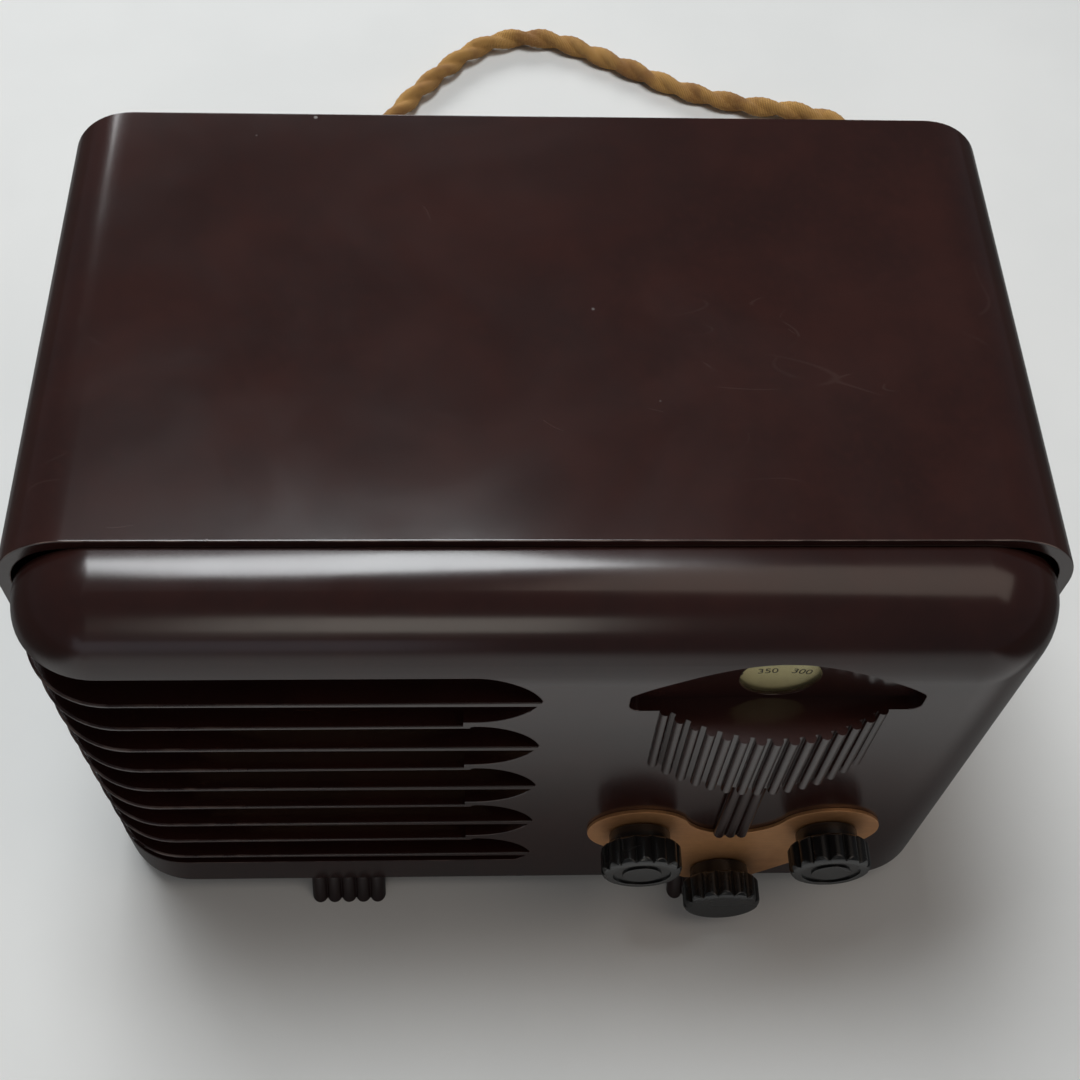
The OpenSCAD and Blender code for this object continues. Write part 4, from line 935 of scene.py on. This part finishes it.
string_low, string_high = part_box("drive_cord")
string_y = (string_low.y + string_high.y) / 2
shaft_low, shaft_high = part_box("tuning_shaft")
shaft_axis = (shaft_low + shaft_high) / 2
hub_low, hub_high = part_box("dial_hub")
hub_r = (hub_high.x - hub_low.x) / 2 - HUB_FLANGE
shaft_r = (shaft_high.x - shaft_low.x) / 2
string_out = STRING_CLEAR + STRING_R
loop, loop_length = belt_line((disc_axis.x, disc_axis.z, hub_r + string_out),
                              (shaft_axis.x, shaft_axis.z, shaft_r + string_out), STRING_STEPS)
turns = round(loop_length / STRING_LAY)
plies = []
for ply in range(3):
    line = []
    for k, (x, z) in enumerate(loop):
        nx, nz = loop[(k + 1) % STRING_STEPS]
        side = Vector((nz - z, 0, x - nx)).normalized()
        a = 2 * math.pi * (turns * k / STRING_STEPS + ply / 3)
        out = math.cos(a) * side + math.sin(a) * Vector((0, 1, 0))
        line.append(Vector((x, string_y, z)) + (STRING_R - STRING_PLY_R) * out)
    plies.append(line)
drive_string = grown("drive_string", thin_loops("plies", plies), path_tube, "cabinet", "drive_string",
                     Radius=STRING_PLY_R, Sides=6, Material=string_wax)
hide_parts("drive_cord")

# Control shafts
# Turned steel shafts with a flat where the grub screw bears, and the tuning shaft's brass bush.
shaft_steel = worked_metal("shaft_steel", (0.63, 0.62, 0.59), (0.38, 0.35, 0.30), roughness=0.28,
                           stretch=TURNED, tarnish=0.4)
dress(shaft_steel, "tuning_shaft", "volume_shaft", "band_shaft")
dress(dial_brass, "tuning_bush")

# Volume control
# A potentiometer in a round pressed can of plated steel, hung on the chassis by its bush. The strip
# for its soldering tags stands up from it.
can_plate = worked_metal("can_plate", (0.60, 0.58, 0.50), (0.36, 0.31, 0.22), roughness=0.38,
                         stretch=ROLLED, tarnish=0.6)
dress(can_plate, "volume_control")

# Band switch
# A front plate with a bush and two wafers on two spacers, all of brown phenolic sheet.
phenolic, tree, shader = new_finish("phenolic_sheet", roughness=0.38)
place = own_place(tree)
paper = noise(tree, stretched(tree, place, (1.0, 1.0, 4.0)), 240.0, 5.0)
feed(tree, tinted(tree, paper, 0.35, 0.7, (0.26, 0.13, 0.045), (0.15, 0.07, 0.025)), shader, "Base Color")
feed(tree, spread(tree, paper, 0.3, 0.7, 0.3, 0.46), shader, "Roughness")
bumped(tree, paper, shader, 0.03 * MM)
dress(phenolic, "band_switch")

# Tubes
# Five glass tubes in moulded sockets. Each has a brown-black base with eight pins, its electrodes on a
# stem between two discs of mica, and a silvery getter film inside the top of the bulb.
PINS = 8
PIN_RING = 8.7 * MM
PIN_R = 1.15 * MM
PIN_DOWN = 7 * MM
GETTER_R = 10.5 * MM
GETTER_IN = 1.15 * MM
GETTER_T = 0.06 * MM
GETTER_RINGS = 10
GETTER_SPOKES = 40
BULB_DOME = 10 * MM

socket_black = moulded_resin("socket_black", (0.014, 0.012, 0.011), (0.030, 0.024, 0.020),
                             (0.08, 0.06, 0.05), roughness=0.42, haze=0.06, wear_and_highlight_amount=0.0, scratches=0.3)
base_resin = moulded_resin("base_resin", (0.018, 0.013, 0.011), (0.036, 0.022, 0.016),
                           (0.08, 0.06, 0.05), roughness=0.26, haze=0.05, wear_and_highlight_amount=0.0, scratches=0.5)
carbon_sheet = coated("carbon_sheet", ((0.045, 0.045, 0.047), (0.085, 0.085, 0.088)), roughness=0.55,
                      scale=240.0, depth=0.05 * MM, metallic=0.5)
bulb_glass, tree, shader = new_finish("bulb_glass", roughness=0.02, ior=1.5, transmission_weight=1.0)
smear = noise(tree, own_place(tree), 55.0, 4.0)
feed(tree, spread(tree, smear, 0.45, 0.8, 0.01, 0.12), shader, "Roughness")
feed(tree, mixed(tree, smear, (0.93, 0.96, 0.97), (0.86, 0.90, 0.90)), shader, "Base Color")
getter_film = worked_metal("getter_film", (0.50, 0.48, 0.46), (0.12, 0.09, 0.07), roughness=0.14,
                           stretch=(1.0, 1.0, 1.0), tarnish=0.9)
pin_plate = worked_metal("pin_plate", (0.62, 0.58, 0.44), (0.34, 0.29, 0.18), roughness=0.33,
                         stretch=UPRIGHT, tarnish=0.6)
dress(socket_black, "tube_sockets")
dress(base_resin, "tube_bases")
dress(carbon_sheet, "tube_plates")

films = bmesh.new()
pins_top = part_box("tube_sockets")[0].z
for number in range(1, 6):
    bulb = f"tube_bulb_{number}"
    dress(bulb_glass, bulb)
    low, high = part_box(bulb)
    axis = (low + high) / 2
    shoulder = (high.x - low.x) / 2 - BULB_DOME
    inner_r = BULB_DOME - GETTER_IN
    skins = []
    for sunk in (0, GETTER_T):
        rings = []
        for ring in range(GETTER_RINGS + 1):
            r = GETTER_R * ring / GETTER_RINGS
            over = max(r - shoulder, 0)
            z = high.z - BULB_DOME + math.sqrt(inner_r ** 2 - over ** 2) - sunk
            turns = [2 * math.pi * k / GETTER_SPOKES for k in range(GETTER_SPOKES if ring else 1)]
            rings.append([films.verts.new((axis.x + r * math.cos(a), axis.y + r * math.sin(a), z))
                          for a in turns])
        skins.append(rings)
    close_skins(films, skins)
    pin = block((PIN_RING - PIN_R, -PIN_R, -PIN_DOWN), (PIN_RING + PIN_R, PIN_R, 0))
    grown(f"tube_pins_{number}", pin, round_row, "cabinet", "socket_black", Count=PINS,
          Turn=(0.0, 0.0, 2 * math.pi / PINS), Start=(0.0, 0.0, math.pi / PINS),
          Middle=(axis.x, axis.y, pins_top), Material=pin_plate)
getter_films = new_piece("getter_films", films, getter_film)
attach(getter_films, "cabinet")

# Cans
# Two square screening cans drawn from aluminium over the intermediate-frequency coils, and the round
# can of the filter capacitor.
can_aluminium = worked_metal("can_aluminium", (0.70, 0.70, 0.69), (0.50, 0.49, 0.46), roughness=0.33,
                             stretch=UPRIGHT, tarnish=0.5)
dress(can_aluminium, "if_can_1", "if_can_2", "filter_can")

# Output transformer
# A stack of thin varnished iron plates with a wound bobbin through it, strapped to the deck.
PLATE_T = 0.5 * MM

core_iron, tree, shader = new_finish("core_iron", roughness=0.5, metallic=0.45)
place = own_place(tree)
split = axes_of(tree, place)
plates = calculate(tree, "FRACT", calculate(tree, "DIVIDE", split["Y"], PLATE_T))
gap = spread(tree, calculate(tree, "ABSOLUTE", calculate(tree, "SUBTRACT", plates, 0.5)), 0.30, 0.5)
varnish = noise(tree, place, 130.0, 5.0)
colour = tinted(tree, varnish, 0.3, 0.7, (0.075, 0.050, 0.034), (0.16, 0.12, 0.09))
feed(tree, mixed(tree, gap, colour, (0.02, 0.016, 0.014)), shader, "Base Color")
feed(tree, spread(tree, varnish, 0.3, 0.7, 0.35, 0.62), shader, "Roughness")
bumped(tree, calculate(tree, "SUBTRACT", varnish, gap), shader, 0.12 * MM)
dress(core_iron, "output_transformer")

# Dial lamp
# A small screw-in bulb in a brass sleeve on a strap, just behind the top of the dial.
lamp_glass, tree, shader = new_finish("lamp_glass", roughness=0.08, ior=1.5, alpha=0.5)
soot = noise(tree, own_place(tree), 300.0, 4.0)
feed(tree, mixed(tree, soot, (0.85, 0.80, 0.66), (0.62, 0.52, 0.36)), shader, "Base Color")
dress(lamp_glass, "dial_lamp")
dress(dial_brass, "lamp_holder")

# Control plate
# A thin copper plate behind the knobs, its satin face darkened by handling, and the three nuts that
# hold the controls behind it.
copper_plate, tree, shader = new_finish("copper_plate", metallic=0.6, roughness=0.42)
place = own_place(tree)
brushed = noise(tree, stretched(tree, place, (1.0, 1.0, 14.0)), 320.0)
tarnish = noise(tree, place, 48.0, 6.0, Roughness=0.6)
edges = use_group(tree, wear_and_highlight, Place=place, Amount=0.6)["Worn"]
colour = tinted(tree, tarnish, 0.34, 0.72, (0.70, 0.35, 0.145), (0.47, 0.22, 0.09))
colour = tinted(tree, brushed, 0.3, 0.8, colour, (0.34, 0.17, 0.085), 0.3)
colour = mixed(tree, edges, colour, (0.80, 0.48, 0.27))
feed(tree, colour, shader, "Base Color")
feed(tree, spread(tree, tarnish, 0.3, 0.75, 0.36, 0.52), shader, "Roughness")
bumped(tree, calculate(tree, "ADD", brushed, tarnish), shader, 0.02 * MM)
rounded_piece("escutcheon", 0.2 * MM, copper_plate)
dress(dial_brass, "control_nuts")

# Knobs
# Three near-black moulded knobs with a lobed flange, the outer two with a ring groove in the face.
# Each is held on its shaft's flat by a slotted grub screw through its neck.
knob_resin = moulded_resin("knob_resin", (0.0052, 0.0050, 0.0052), (0.0105, 0.0100, 0.0096),
                           (0.12, 0.12, 0.115), roughness=0.24, haze=0.05, wear_and_highlight_amount=0.8, scratches=0.4)
for body in ("tuning", "volume", "band"):
    rounded_piece(body + "_knob", 0.28 * MM, knob_resin, body)
    dress(screw_steel, body + "_grub")

# Back cover
# A sheet of pressed brown fibre, punched with rows of vent holes and held by four plated screws. Its
# upper half has browned from the tubes' heat.
fibre_board, tree, shader = new_finish("fibre_board", roughness=0.78)
place = own_place(tree)
pulp = noise(tree, stretched(tree, place, (1.0, 1.0, 2.6)), 260.0, 6.0)
stain = noise(tree, place, 16.0, 5.0)
height = axes_of(tree, place)["Z"]
heat = times(tree, spread(tree, height, 0.07, 0.15), spread(tree, stain, 0.3, 0.7, 0.3, 0.8))
colour = tinted(tree, pulp, 0.32, 0.70, (0.21, 0.115, 0.056), (0.10, 0.052, 0.026))
colour = mixed(tree, heat, colour, (0.075, 0.038, 0.020))
feed(tree, colour, shader, "Base Color")
feed(tree, spread(tree, stain, 0.3, 0.7, 0.66, 0.86), shader, "Roughness")
bumped(tree, pulp, shader, 0.15 * MM)
dress(fibre_board, "back_cover")
dress(screw_steel, "back_screws")

# Cord entry
# A black rubber grommet in the back cover, and the tapered sleeve that keeps the cord from bending
# sharply where it leaves. Ribs round the sleeve let it flex.
RIBS = 7
RIB_R = 0.55 * MM
RIB_STEPS = 48
RIBS_FROM = 0.22
RIBS_ALONG = 0.66
SLEEVE_R = 6 * MM
SLEEVE_TIP_R = CORD_R + 0.7 * MM
COLLAR_T = 4 * MM
TIP_ROUND = 1 * MM

rubber_black = coated("rubber_black", ((0.016, 0.015, 0.014), (0.035, 0.032, 0.030)), roughness=0.62,
                      scale=150.0, depth=0.06 * MM)
dress(rubber_black, "cord_gland", "strain_relief")
low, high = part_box("strain_relief")
axis = (low + high) / 2
rib_lines = []
for k in range(RIBS):
    out = (RIBS_FROM + RIBS_ALONG * k / (RIBS - 1)) * (high.y - low.y)
    taper = (out - COLLAR_T) / (high.y - low.y - COLLAR_T - TIP_ROUND)
    r = SLEEVE_R + (SLEEVE_TIP_R - SLEEVE_R) * taper
    turns = [2 * math.pi * n / RIB_STEPS for n in range(RIB_STEPS)]
    rib_lines.append([(axis.x + r * math.cos(a), low.y + out, axis.z + r * math.sin(a)) for a in turns])
grown("strain_relief_ribs", thin_loops("ribs", rib_lines), path_tube, "cabinet", "rubber_black",
      Radius=RIB_R, Sides=8, Material=rubber_black)

# Plug
# A flat two-pin plug of dark moulded resin with bare brass pins, lying on its side by the coil.
plug_resin = moulded_resin("plug_resin", (0.016, 0.010, 0.009), (0.034, 0.018, 0.013),
                           (0.10, 0.07, 0.055), roughness=0.30, haze=0.06, wear_and_highlight_amount=0.8, scratches=1.0)
plug_body = rounded_piece("plug_body", 0.6 * MM, plug_resin)
pin_brass = worked_metal("pin_brass", (0.68, 0.55, 0.28), (0.36, 0.26, 0.12), roughness=0.32,
                         stretch=ROLLED, tarnish=0.5)
dress(pin_brass, "plug_pins")

# Cord tie
# A band of black rubber round the coil's two layers, which keeps the spare cord together.
cord_tie = rounded_piece("cord_tie", 0.15 * MM, rubber_black)
